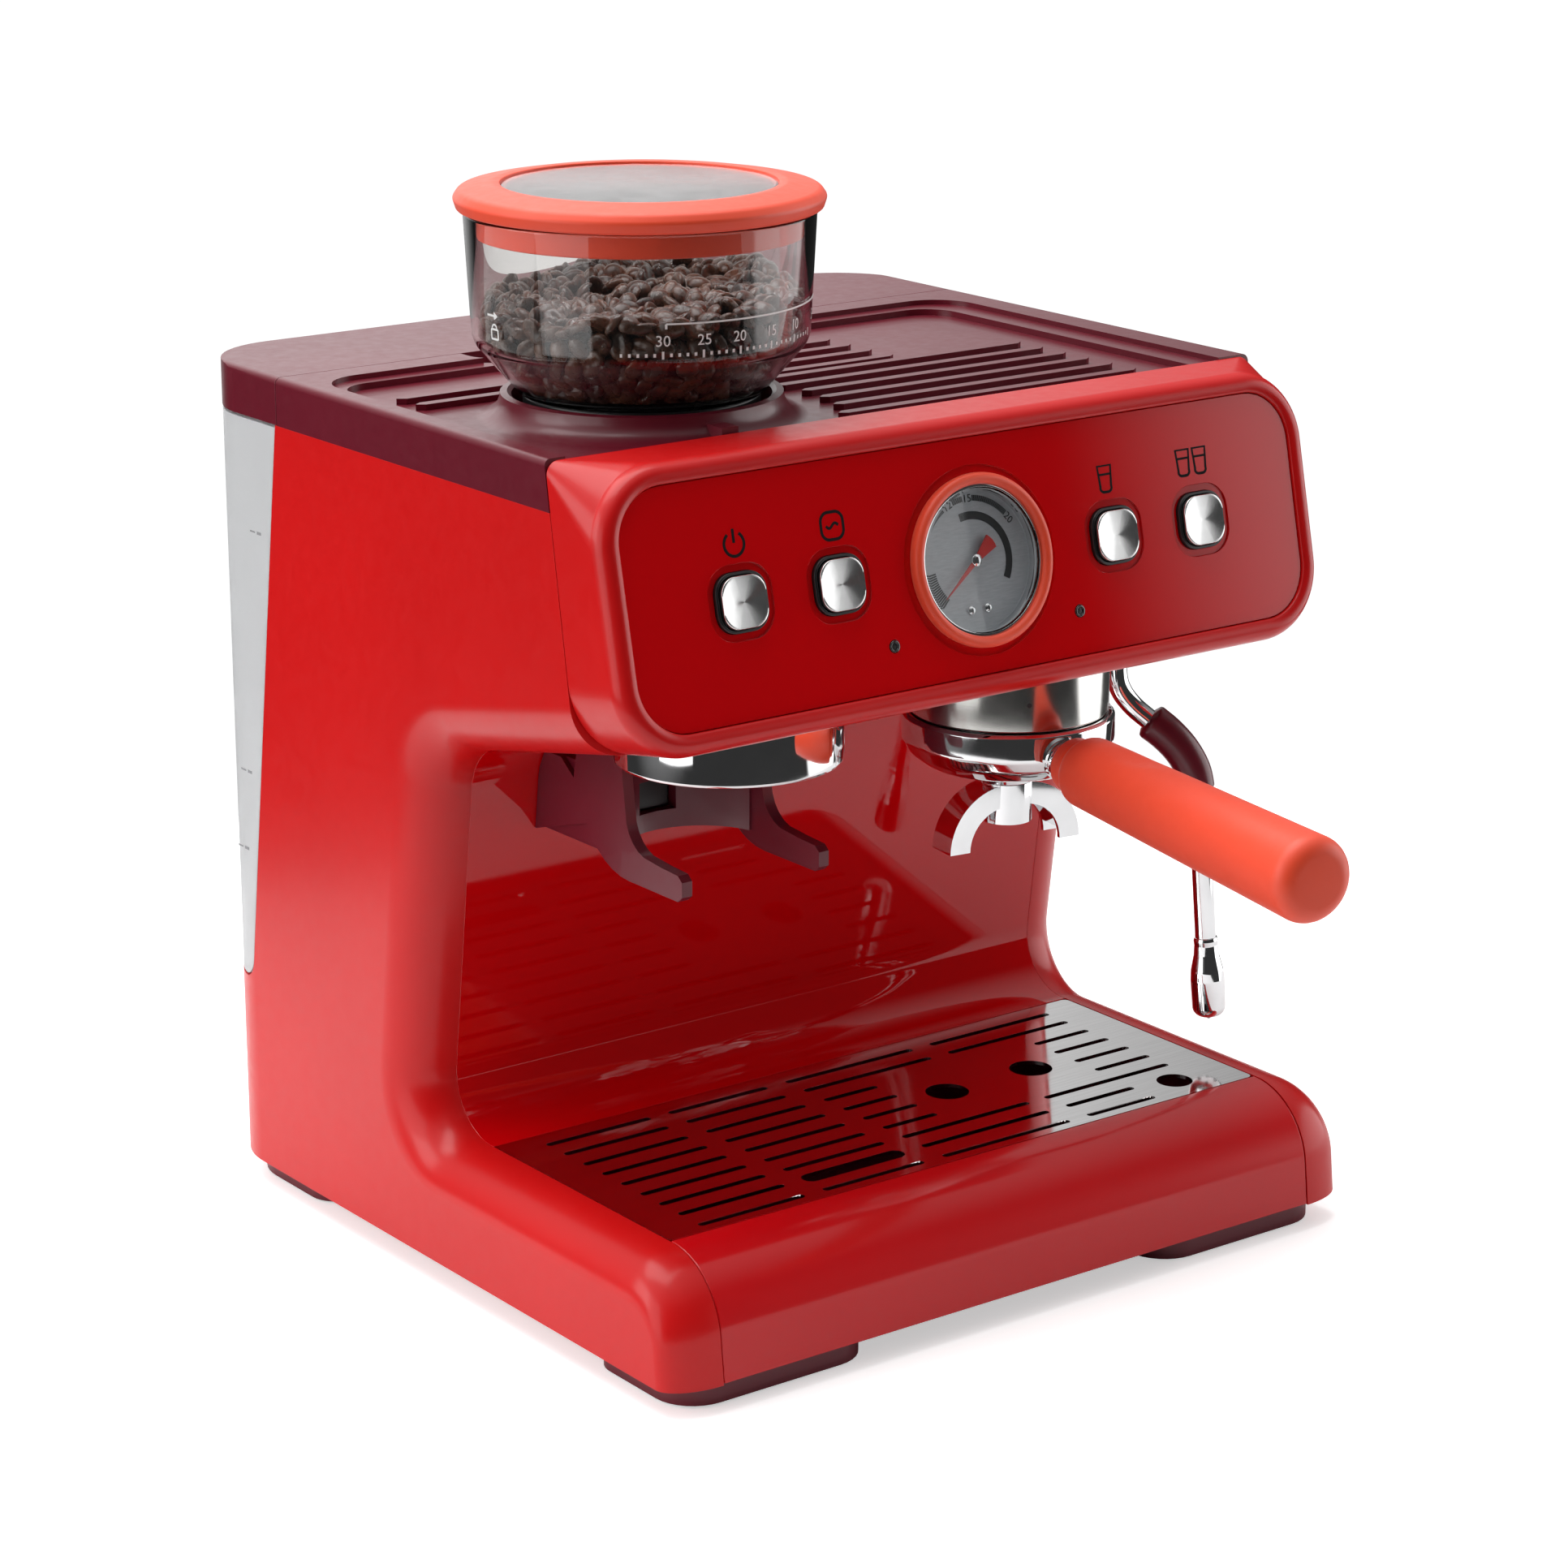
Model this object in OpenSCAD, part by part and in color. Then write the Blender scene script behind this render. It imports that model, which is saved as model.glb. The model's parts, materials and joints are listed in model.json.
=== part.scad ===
// Bean-to-cup espresso machine: grinder at the left, 58 mm group at the right,
// steam wand, lift-out tank at the back and pull-out drip tray.
// Built on a datum at the middle of the tray front, on the underside of the shell;
// placed() then moves everything so that the origin is bottom centre of the whole machine.

/* [Body] */
// Width over the two side shells
body_w = 315; // [310:1:320]
// Depth from tray front to the back
body_d = 312; // [308:1:316]
// Height of the base plate and feet under the shell
base_h = 10; // [8:0.5:12]

/* [Openings and fits] */
// Clearance beside parts that slide out by hand
slide_gap = 0.4; // [0.3:0.05:0.6]
// Radial clearance of running pins
pin_gap = 0.06; // [0.02:0.01:0.1]

/* [Portafilter] */
// Distance from group axis to the end of the handle
handle_reach = 197; // [185:1:205]

/* [Hidden] */

$fn = 72;
hw = body_w / 2;
iw = hw - 21;
tray_hw = iw - slide_gap;
cover_z = 313.3;
strip_z = 295.6;
deck_z = 309;
tilt = 12.356;
knob_out = 16;

// panel plane, leaning back
panel_y = 26.1;
panel_z = 224.8;
panel_h = 82.7;
panel_hw = 149.2;
gauge_v = 39.7;
button_v = 40;
button_xs = [-103.2, -61.9, 61.8, 103.1];

// main vertical axes
group_x = 54;
group_y = 83;
grind_x = -76;
burr_y = 131;
ring_y = 80;
motor_y = 205;
wand_x = 116;
wand_y = 94;
wand_z = 204;
wand_az = 45;
turn_in = 8;
ball_r = 8;
ring_r = 41;
collar_r = 37.2;
origin_x = -knob_out / 2;
origin_y = -(body_d + group_y - (handle_reach - 7) * cos(turn_in) - 8.3 * sin(turn_in) - 7) / 2;
knob_y = 150;
knob_z = 262;

maroon = [0.36, 0.08, 0.14];
red = [0.80, 0.13, 0.13];
deep_red = [0.50, 0.01, 0.03];
coral = [0.96, 0.27, 0.17];
steel = [0.75, 0.75, 0.76];
dark = [0.12, 0.12, 0.13];
clear = [0.6, 0.58, 0.56, 0.4];

module placed() translate([origin_x, origin_y, base_h]) children();
module on_panel() translate([0, panel_y, panel_z]) rotate([90 - tilt, 0, 0]) children();
module at_group() translate([group_x, group_y, 0]) children();
module along_x(w) rotate([90, 0, 90]) translate([0, 0, -w / 2]) linear_extrude(height = w) children();

function unit(v) = v / norm(v);
function isect(a, b, c, d) =
 let (r = b - a, s = d - c, k = r[0] * s[1] - r[1] * s[0],
  t = ((c[0] - a[0]) * s[1] - (c[1] - a[1]) * s[0]) / k) a + r * t;
// rounded corner at b between a and c
function corner(a, b, c, r, n) =
 r < 0.01 ? [b] :
 let (u = unit(a - b), v = unit(c - b), h = acos(u * v) / 2, t = r / tan(h),
  m = b + unit(u + v) * r / sin(h), p = b + u * t - m, q = b + v * t - m,
  a0 = atan2(p[1], p[0]), d = atan2(q[1], q[0]) - a0, e = d > 180 ? d - 360 : d < -180 ? d + 360 : d)
 [for (i = [0:n]) m + r * [cos(a0 + e * i / n), sin(a0 + e * i / n)]];
function rounded(p, r, n) = let (k = len(p))
 [for (i = [0:k - 1]) each corner(p[(i + k - 1) % k], p[i], p[(i + 1) % k], r[i], n[i])];

// C-shaped side profile, made from its edges; d is how far the open edges are pushed in
side_a = [[0.5, 0], [body_d, 0], [body_d, 74], [279, 74], [247.7, strip_z], [68, strip_z],
 [54.6, 211.8], [153.8, 171], [40, 42.7], [2, 13.7]];
side_b = [[body_d, 0], [body_d, 74], [279, 74], [247.7, strip_z], [68, strip_z], [54.6, 211.8],
 [132, 195.9], [166, 78], [20, 42.7], [0.5, 0]];
function push(a, b, d) = let (u = unit(b - a)) [-u[1], u[0]] * d;
function side_ring(x) =
 let (f = asin(min(1, (x - iw) / 21)), g = 1 - cos(f),
  d = [0, 0, 0, 0, 0, 0, 20 * g, 19 * g, 16 * g, 11 * g],
  r = [0, 3, 3, 8, 0, 0, 0, 22 + 16 * g, 22 + 14 * g, 29 - 14 * g],
  n = [1, 3, 3, 4, 1, 1, 1, 10, 10, 12],
  q = [for (i = [0:9]) let (e = push(side_a[i], side_b[i], d[i])) [side_a[i] + e, side_b[i] + e]],
  v = [for (i = [0:9]) let (j = (i + 9) % 10) isect(q[j][0], q[j][1], q[i][0], q[i][1])])
 rounded(v, r, n);

// skin over a list of rings; tiles split an end cap that isn't convex
module loft(rings, closed = false, tiles = []) {
 m = len(rings);
 k = len(rings[0]);
 parts = len(tiles) > 0 ? tiles : [[for (j = [0:k - 1]) j]];
 pts = [for (r = rings) each r];
 walls = [for (i = [0:closed ? m - 1 : m - 2]) for (j = [0:k - 1])
  let (a = i * k, b = ((i + 1) % m) * k, c = (j + 1) % k)
  each [[a + j, b + j, b + c], [a + j, b + c, a + c]]];
 caps = closed ? [] : concat(parts, [for (t = parts) [for (i = [len(t) - 1:-1:0])
  (m - 1) * k + t[i]]]);
 polyhedron(points = pts, faces = concat(walls, caps), convexity = 8);
}

function fan(c, a, b) = [for (j = [a:b - 1]) [c, j, j + 1]];
module side_shell() intersection() {
 xs = [iw, iw + 4, iw + 8, iw + 11.5, iw + 14.5, iw + 17, iw + 19, iw + 20.4, hw];
 loft([for (x = xs) [for (p = side_ring(x)) [x, p[0], p[1]]]],
  tiles = concat(fan(14, 15, 28), fan(28, 1, 14), fan(1, 28, 51), [[0, 1, 51]]));
 plan(hw, -30, body_d, 0, 35, 300);
}
module side_right() color(red) difference() {
 side_shell();
 translate([iw - 1, knob_y, knob_z]) rotate([0, 90, 0]) cylinder(r = 4 + pin_gap, h = 30);
}
module side_left() color(red) mirror([1, 0, 0]) side_shell();

module plan(w, y0, y1, r0, r1, h) linear_extrude(height = h)
 polygon(rounded([[-w, y0], [w, y0], [w, y1], [-w, y1]], [r0, r0, r1, r1], [8, 8, 12, 12]));

module base() color(maroon) difference() {
 union() {
  translate([0, 0, -5]) plan(hw - 14, 20, body_d - 14, 14, 21, 5);
  for (s = [-1, 1]) {
   translate([s * 108, 0, -9]) plan(42, 6, 62, 16, 12, 9);
   translate([s * 108, 0, -9]) plan(42, 240, body_d - 6, 12, 26, 9);
  }
 }
 for (s = [-1, 1], y = [176, 232]) translate([s * 120, y, -6]) cylinder(r = 2.2, h = 7);
 translate([0, 205, -6]) for (k = [-3:3]) translate([k * 12 - 2, -22, 0]) cube([4, 44, 7]);
}

module foot_pads() color(dark)
 for (s = [-1, 1], y = [30, 276]) translate([s * 118, y, -base_h]) cylinder(r = 9, h = base_h - 9);

module case_screws() color(steel)
 for (s = [-1, 1], y = [176, 232]) translate([s * 120, y, -7]) {
  cylinder(r = 4, h = 2);
  cylinder(r = 1.9, h = 15);
 }

module inner_frame() color([0.62, 0.63, 0.65]) difference() {
 union() {
  translate([-iw + 1, 171.5, 0.1]) cube([2 * iw - 2, 70, 2.4]);
  for (s = [-1, 1]) translate([s * (iw - 2) - 1, 178, 0.1]) cube([2, 60, 216]);
  for (s = [-1, 1], y = [176, 232]) translate([s * 120, y, 0.1]) cylinder(r = 4.5, h = 11);
  translate([-iw + 1, 76, 216]) cube([2 * iw - 2, 164, 2.2]);
 }
 for (s = [-1, 1], y = [176, 232]) translate([s * 120, y, -1]) cylinder(r = 1.9, h = 10);
 translate([grind_x, 70, 200]) cylinder(r = 13, h = 30);
 at_group() translate([0, 0, 200]) cylinder(r = 35.2, h = 30);
 translate([wand_x, wand_y, 200]) cylinder(r = 8, h = 30);
 translate([51.5, 128.5, 200]) cylinder(r = 6, h = 30);
 translate([-62, 172.5, 210]) cube([30, 4, 20]);
 translate([96, 196, 210]) cylinder(r = 5, h = 20);
 translate([grind_x, motor_y, 200]) cylinder(r = 10.4, h = 30);
}

// gloss back wall: down from the hood and forward into the grille
function wall(d) =
 let (a = [for (i = [6:8]) let (e = push(side_a[i], side_b[i], d)) [side_a[i] + e, side_b[i] + e]],
  v = isect(a[0][0], a[0][1], a[1][0], a[1][1]), w = isect(a[1][0], a[1][1], a[2][0], a[2][1]))
 concat([isect(a[0][0], a[0][1], [127, 0], [127, 9])], corner(a[0][0], v, w, 22 + d, 10),
  corner(v, w, a[2][1], 22 + d, 10), [[143.3, 42.7 - d]]);
function back(p) = [for (i = [len(p) - 1:-1:0]) p[i]];
module splash_panel() color(deep_red) difference() {
 along_x(2 * iw - 0.1) polygon(concat(wall(0), back(wall(3))));
 translate([grind_x - 15, 140, 163]) cube([30, 30, 14]);
 translate([51.5, 128.5, 150]) cylinder(r = 6, h = 100);
}

module hood_floor() color(maroon) difference() {
 along_x(2 * iw - 0.1) polygon([[57, 211.4], [126.8, 197], [126.8, 199.8], [57, 214.2]]);
 translate([grind_x, ring_y, 150]) cylinder(r = ring_r + 1.2, h = 100);
 at_group() translate([0, 0, 150]) cylinder(r = collar_r + 0.4, h = 100);
 translate([wand_x, wand_y, 150]) cylinder(r = 14, h = 100);
 translate([51.5, 128.5, 150]) cylinder(r = 6, h = 100);
}

// panel outline pushed out by o; corner radius of the top blends to rt
function rim(o, rt) = rounded([[-panel_hw - o, -o], [panel_hw + o, -o],
 [panel_hw + o, panel_h + o], [-panel_hw - o, panel_h + o]], [19 + o, 19 + o, rt, rt],
 [10, 10, 10, 10]);
function seat(p, w, t) = let (s = sin(tilt), c = cos(tilt), z = panel_z + p[1] * c + w * s
   - 0.165 * abs(t) * (1 - p[1] / 91))
 [p[0], t < 0 ? 54.4 + (z - 211.8) * 0.16 : panel_y + p[1] * s - w * c + t, z];
rim_cuts = [[-3, -5.4, 0], [-3, -2.8, 0], [0.3, -2.8, 0], [0.3, 0.3, 0], [1.6, 1.6, 0],
 [3.6, 1.8, 0], [5.6, 1, 0], [7.2, -0.8, 0], [8.1, -3, 0], [8.3, -5, 0], [8.3, -5, -25],
 [5.3, -5, -25], [5.3, -5.4, 4]];
module front_bezel() color(red) difference() {
 loft(back([for (c = rim_cuts)
  [for (p = rim(c[0], c[2] < 0 ? 5 : 19 + c[0])) seat(p, c[1], c[2])]]), closed = true);
 translate([grind_x, ring_y, 190]) cylinder(r = ring_r + 0.4, h = 40);
 at_group() translate([0, 0, 190]) cylinder(r = collar_r + 0.4, h = 40);
}

module tile(w, h, r, t) linear_extrude(height = t) polygon(rounded(
 [[-w / 2, -h / 2], [w / 2, -h / 2], [w / 2, h / 2], [-w / 2, h / 2]], [r, r, r, r], [8, 8, 8, 8]));
module at_buttons() for (x = button_xs) translate([x, button_v, 0]) children();
module at_leds() for (x = [-41.8, 41.8]) translate([x, 15.6, 0]) children();

module control_panel() color(deep_red) on_panel() difference() {
 translate([0, panel_h / 2, -2.6]) tile(2 * panel_hw, panel_h, 19, 2.6);
 translate([0, gauge_v, -5]) cylinder(r = 27, h = 10);
 translate([0, gauge_v, -0.9]) cylinder(r = 33.5, h = 2);
 at_buttons() translate([0, 0, -5]) tile(21.4, 20.8, 7.2, 10);
 at_buttons() translate([0, 0, -0.7]) tile(26.5, 26, 9.5, 2);
 at_leds() translate([0, 0, -5]) cylinder(r = 2.3, h = 10);
}
module status_leds() color(dark) on_panel() at_leds() {
 translate([0, 0, -7.5]) cylinder(r = 2.1, h = 7.9);
 translate([0, 0, -4.6]) cylinder(r = 3.2, h = 1.8);
}
module button_trims() color(dark) on_panel() at_buttons() difference() {
 union() {
  translate([0, 0, -5.4]) tile(21.2, 20.6, 7.1, 6.2);
  translate([0, 0, -4.8]) tile(25, 24.4, 8, 2);
 }
 translate([0, 0, -6]) tile(19, 18.6, 6.2, 9);
}
module button(i) color(steel) on_panel() translate([button_xs[i], button_v, 0]) {
 difference() {
  translate([0, 0, -4]) tile(18.4, 18, 6, 6);
  translate([0, 0, 62]) sphere(r = 60.3, $fn = 96);
 }
 translate([0, 0, -9.8]) cylinder(r = 3, h = 6);
}
module button_power() button(0);
module button_manual() button(1);
module button_single() button(2);
module button_double() button(3);
module switch_board() color([0.1, 0.3, 0.15]) on_panel() difference() {
 union() {
  translate([0, 40, -15.5]) tile(250, 70, 3, 1.6);
  at_buttons() translate([-3, -3, -14]) cube([6, 6, 2.2]);
 }
 translate([0, gauge_v, -20]) cylinder(r = 29, h = 20);
}

module on_gauge() on_panel() translate([0, gauge_v, 0]) children();
module gauge_ring() color(coral) on_gauge() rotate_extrude() polygon(concat(
 [[26.7, -0.8], [30.3, -0.8], [30.6, 0.5]],
 [for (a = [0:15:180]) [28.6 + 2 * cos(a), 1.7 + 2 * sin(a)]], [[26.7, 1.4]]));
module gauge_case() color([0.6, 0.62, 0.63]) on_gauge() {
 difference() {
  translate([0, 0, -22]) cylinder(r = 26.6, h = 23.4);
  translate([0, 0, -4.5]) cylinder(r = 24.6, h = 10);
  translate([0, 0, -0.4]) cylinder(r = 25.8, h = 10);
  translate([0, 0, -9]) cylinder(r = 1 + pin_gap, h = 10);
 }
 for (s = [-1, 1]) translate([s * 3.6, -17, -4.5]) cylinder(r = 1.6, h = 1);
}
module gauge_glass() color(clear) on_gauge() translate([0, 0, -0.3]) cylinder(r = 25.7, h = 1.6);
module gauge_needle() color([0.75, 0.1, 0.08]) on_gauge() {
 translate([0, 0, -8]) cylinder(r = 1, h = 5.5);
 translate([0, 0, -3.4]) cylinder(r = 2.2, h = 1.4);
 rotate([0, 0, 218 - 90]) translate([0, 0, -3.2]) linear_extrude(height = 0.8)
  polygon([[0, 19], [0.9, 3], [0.9, 0], [1.9, -9.5], [-1.9, -9.5], [-0.9, 0], [-0.9, 3]]);
}

// cup-warming top: a sunk deck with ribs inside a rim
module rib(x0, x1, y) translate([0, y, deck_z - 0.5]) linear_extrude(height = 2.7)
 polygon([[x0, 0], [x0 + 3, -2.2], [x1 - 3, -2.2], [x1, 0], [x1 - 3, 2.2], [x0 + 3, 2.2]]);
module top_cover() color(maroon) difference() {
 union() {
  difference() {
   intersection() {
    along_x(2 * hw) polygon([[68.2, strip_z], [71, cover_z], [246.4, cover_z], [246.4, strip_z]]);
    translate([0, 260, 0]) rotate([90, 0, 0]) linear_extrude(height = 200) polygon(rounded(
     [[-hw, 290], [hw, 290], [hw, cover_z], [-hw, cover_z]], [0, 0, 2.5, 2.5], [1, 1, 5, 5]));
   }
   along_x(2 * hw - 6) polygon([[71.5, 290], [73.5, 303], [243.4, 303], [243.4, 290]]);
   translate([0, 0, deck_z]) linear_extrude(height = 9) polygon(rounded(
    [[-145, 60], [132, 60], [132, 227], [-145, 227]], [0, 0, 14, 14], [1, 1, 8, 8]));
   translate([0, 0, 311.4]) linear_extrude(height = 9) polygon(rounded(
    [[-149, 60], [143, 60], [143, 234], [-149, 234]], [0, 0, 18, 18], [1, 1, 8, 8]));
   translate([0, 0, 306.5]) linear_extrude(height = 9) polygon(rounded(
    [[-78, 231], [78, 231], [78, 260], [-78, 260]], [9, 9, 0, 0], [6, 6, 1, 1]));
  }
  intersection() {
   for (k = [0:5]) rib([-26, -18, -14, -12, -14, -20][k], 112.5, 82.5 + 13.3 * k);
   translate([-150, 74, 300]) cube([300, 160, 20]);
  }
  for (k = [0:3]) rib(k < 2 ? -24 : -137, 57.4, 157.5 + 13 * k);
  translate([grind_x, burr_y, 0]) rotate_extrude() polygon(concat([[44, deck_z - 1], [59, deck_z - 1]],
   [for (a = [0:15:90]) [59 - 9 * sin(a), 317.6 - 8.6 * cos(a)]], [[47.5, 318], [46, 317], [46, 303]]));
  translate([grind_x - 8, burr_y - 59, deck_z - 1]) cube([7, 12, 6.5]);
 }
 translate([grind_x, burr_y, 290]) cylinder(r = 46, h = 40);
}

// gear-motor under the deck, burr chamber above it
module grinder_housing() color(dark) translate([grind_x, burr_y, 0]) difference() {
 union() {
  translate([0, 0, 245]) cylinder(r = 40, h = 50);
  translate([-14, -50, 247]) cube([28, 20, 24]);
 }
 translate([0, 0, 249]) cylinder(r = 33, h = 60);
 translate([0, 0, 240]) cylinder(r = 5 + pin_gap, h = 20);
 translate([-11, -60, 250]) cube([22, 32, 17]);
}
module grinder_drive() color([0.3, 0.3, 0.32]) difference() {
 union() {
  hull() {
   translate([grind_x, burr_y, 218.6]) cylinder(r = 42, h = 26);
   translate([grind_x, motor_y, 218.6]) cylinder(r = 30, h = 26);
  }
  translate([grind_x, motor_y, 120]) cylinder(r = 28, h = 93);
  translate([grind_x, motor_y, 213]) cylinder(r = 10, h = 6);
 }
 translate([grind_x, burr_y, 222]) cylinder(r = 37, h = 18);
 translate([grind_x, burr_y, 230]) cylinder(r = 5 + pin_gap, h = 20);
}
module lower_burr() color(steel) translate([grind_x, burr_y, 0]) {
 translate([0, 0, 224]) cylinder(r = 34, h = 12);
 translate([0, 0, 230]) cylinder(r = 5, h = 28);
 difference() {
  translate([0, 0, 251]) cylinder(r1 = 20, r2 = 8, h = 34);
  for (k = [0:11]) rotate([0, 0, k * 30]) translate([13, -0.8, 262]) rotate([0, -19, 0])
   cube([9, 1.6, 30]);
 }
 difference() {
  translate([0, 0, 251]) cylinder(r = 31.5, h = 3);
  for (k = [0:5]) rotate([0, 0, k * 60]) translate([22, -3, 250]) cube([7, 6, 6]);
 }
}
module upper_burr() color(steel) translate([grind_x, burr_y, 0]) difference() {
 translate([0, 0, 262]) cylinder(r = 29, h = 20);
 translate([0, 0, 261.9]) cylinder(r1 = 18.2, r2 = 14.4, h = 20.2);
}
module grounds_chute() color(dark) difference() {
 union() {
  translate([grind_x, 70, 214]) cylinder(r = 9, h = 33);
  translate([grind_x - 13.5, 61, 247]) cube([27, 19.9, 21]);
 }
 translate([grind_x, 70, 200]) cylinder(r = 7.4, h = 60);
 translate([grind_x - 11, 63, 250]) cube([22, 30, 15]);
}
module grinder_ring() color(steel) translate([grind_x, ring_y, 0]) rotate_extrude() polygon(
 [[38.8, 196], [39.2, 195.2], [40.4, 195], [ring_r, 195.8], [ring_r, 215.8], [20, 215.8], [20, 213.8],
  [38.8, 213.8]]);

// cradle that carries the portafilter under the grinder
fork_seat = [[155.4, 156], [152.8, 176], [151.7, 180.5], [148.2, 187]];
module dosing_fork() color(maroon) difference() {
 union() {
  for (s = [-1, 1]) translate([grind_x + s * 29.8 - 2.2, 0, 0]) rotate([90, 0, 90])
   linear_extrude(height = 4.4) polygon(concat(fork_seat, [[138, 187], [130, 181], [127, 196.2],
    [112.8, 199], [112.8, 194.4], [100, 194.4], [98.8, 185]],
    [for (a = [0:15:75]) [83 + 14.5 * cos(a), 175.5 - 14 * sin(a)]],
    [[76, 161], [66, 160.5], [63.6, 158.5], [63.6, 153], [66, 151]],
    [for (a = [0:10:60]) [96 + 30 * sin(a), 181 - 30 * cos(a)]]));
  translate([grind_x, 0, 0]) along_x(60) polygon(concat([[104, 157], [155.2, 157]],
   [for (i = [1:3]) fork_seat[i]], [[104, 187]]));
 }
 translate([grind_x, 97, 150]) cylinder(r = 27.6, h = 60);
 translate([grind_x - 8, 112, 164]) cube([16, 60, 12]);
}
module grind_trigger() color(dark) {
 translate([grind_x - 7.6, 127.2, 164.4]) cube([15.2, 24, 11.2]);
}

module hopper_jar() color(clear) translate([grind_x, burr_y, 0]) rotate_extrude() polygon(
 [[24.2, 317.6], [43, 317.6], [58.3, 335.3], [59.5, 338.5], [61.8, 381.8], [59.6, 381.8],
  [57.4, 339], [56.6, 336.8], [42, 320], [24.2, 320]]);
module hopper_base() color(dark) translate([grind_x, burr_y, 0]) rotate_extrude() polygon(
 [[21, 282.2], [29, 282.2], [29, 297], [42, 300], [42, 317.5], [24, 317.5], [24, 321.5],
  [21, 321.5]]);
module hopper_beans() color([0.16, 0.07, 0.04]) translate([grind_x, burr_y, 0]) rotate_extrude()
 polygon([[0, 322], [41.5, 322], [56, 337.6], [57, 341], [57.6, 350], [52, 354], [30, 354], [0, 351.5]]);
module hopper_lid() color(coral) translate([grind_x, burr_y, 0]) rotate_extrude() polygon(
 concat([[48.6, 390.6], [48.6, 388.6], [46.5, 388.4], [46.5, 386.5], [55.8, 386.4], [55.8, 373.6],
  [58.2, 373], [58.6, 374], [58.6, 382.4], [64.2, 382.4]],
  [for (a = [-70:20:90]) [62.3 + 3 * cos(a), 385.6 + 3 * sin(a) + (a > 0 ? 1.9 * sin(a) : 0)]],
  [[56, 391.3], [50, 391.4]]));
module lid_window() color(clear) translate([grind_x, burr_y, 388.8]) cylinder(r = 48.4, h = 1.7);

module group_head() color([0.7, 0.7, 0.68]) at_group() difference() {
 rotate_extrude() polygon([[0, 206.6], [28.6, 206.6], [28.6, 210], [32.2, 210], [32.2, 199.2],
  [34.8, 199.2], [34.8, 194.2], [32.2, 194.2], [32.2, 192], [35.1, 192], [35.1, 222], [30, 226],
  [0, 226]]);
 rotate([0, 0, -50 - turn_in]) translate([-34.6, -9, 191]) cube([69.2, 18, 3.3]);
}
module group_collar() color(steel) at_group() rotate_extrude() polygon([[35.2, 191.4],
 [35.8, 191], [36.8, 191], [collar_r, 191.8], [collar_r, 214.8], [35.2, 214.8]]);
module group_gasket() color(dark) at_group() difference() {
 translate([0, 0, 204.9]) cylinder(r = 32.1, h = 5);
 translate([0, 0, 204]) cylinder(r = 28.7, h = 8);
}
module shower_screen() color(steel) at_group() difference() {
 translate([0, 0, 205.3]) cylinder(r = 28.2, h = 1.2);
 for (k = [1:3], j = [0:6 * k - 1]) rotate([0, 0, j * 60 / k]) translate([k * 7.5, 0, 205])
  cylinder(r = 0.9, h = 3, $fn = 16);
}
module boiler() color([0.72, 0.62, 0.5]) {
 translate([group_x + 4, 172, 222]) cylinder(r = 36, h = 62);
 translate([group_x + 4, 172, 218.4]) cylinder(r = 20, h = 4);
 translate([group_x - 10, 100, 227]) cube([20, 40, 12]);
 translate([110, knob_y, knob_z]) rotate([0, 90, 0]) cylinder(r = 10, h = 24);
 translate([85, knob_y - 6, knob_z - 6]) cube([26, 12, 12]);
}
module pump() color([0.75, 0.75, 0.72]) translate([60, 206, 0]) {
 translate([-34, -22, 60]) cube([68, 40, 44]);
 translate([0, 0, 3]) cylinder(r = 14, h = 58);
 translate([0, 0, 103]) cylinder(r = 9, h = 40);
}

module power_gland() color(dark) translate([80, 0, 32]) rotate([-90, 0, 0]) difference() {
 union() {
  translate([0, 0, body_d - 8]) cylinder(r = 6.9, h = 8);
  translate([0, 0, body_d - 8]) cylinder(r = 10, h = 4.6);
 }
 translate([0, 0, body_d - 20]) cylinder(r = 3.4, h = 30);
}
module rear_bay() color(red) difference() {
 union() {
  along_x(2 * iw - 0.2) polygon([[275.4, 71], [244.1, 294.6], [247, 294.6], [278.2, 74.2],
   [308, 74.2], [308, 71]]);
  intersection() {
   difference() {
    translate([0, 0, 0.1]) plan(hw, 200, body_d, 0, 35, 73.8);
    translate([0, 0, -1]) plan(hw - 3, 190, body_d - 3, 0, 32, 72);
   }
   translate([-iw + 0.1, 304, 0]) cube([2 * iw - 0.2, 20, 80]);
  }
 }
 translate([80, 290, 32]) rotate([-90, 0, 0]) cylinder(r = 7, h = 40);
 for (k = [-4:4]) translate([k * 9 - 50, 300, 20]) cube([4, 20, 30]);
}

tank_in = [[281.6, 77.5], [body_d - 2.5, 77.5], [body_d - 2.5, 300], [250.1, 300]];
module water_tank() color([0.85, 0.87, 0.88, 0.6]) {
 difference() {
  intersection() {
   along_x(2 * hw - 0.4) polygon(rounded([[279.4, 74.7], [body_d, 74.7], [body_d, 294.6],
    [248.35, 294.6]], [8, 3, 0, 0], [5, 3, 1, 1]));
   plan(hw - 0.2, 200, body_d, 0, 35, 400);
  }
  intersection() {
   along_x(2 * hw - 5.4) polygon(rounded(tank_in, [6, 1, 0, 0], [5, 2, 1, 1]));
   plan(hw - 2.7, 200, body_d - 2.5, 0, 32.5, 400);
  }
 }
 for (s = [-1, 1]) {
  translate([s * 50 - 1.5, 306, 290]) cube([3, 5.2, 10.4]);
  translate([s * 50, 308.6, 298.4]) rotate([0, s * 90, 0]) cylinder(r = 1.5, h = 10);
 }
}
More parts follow.
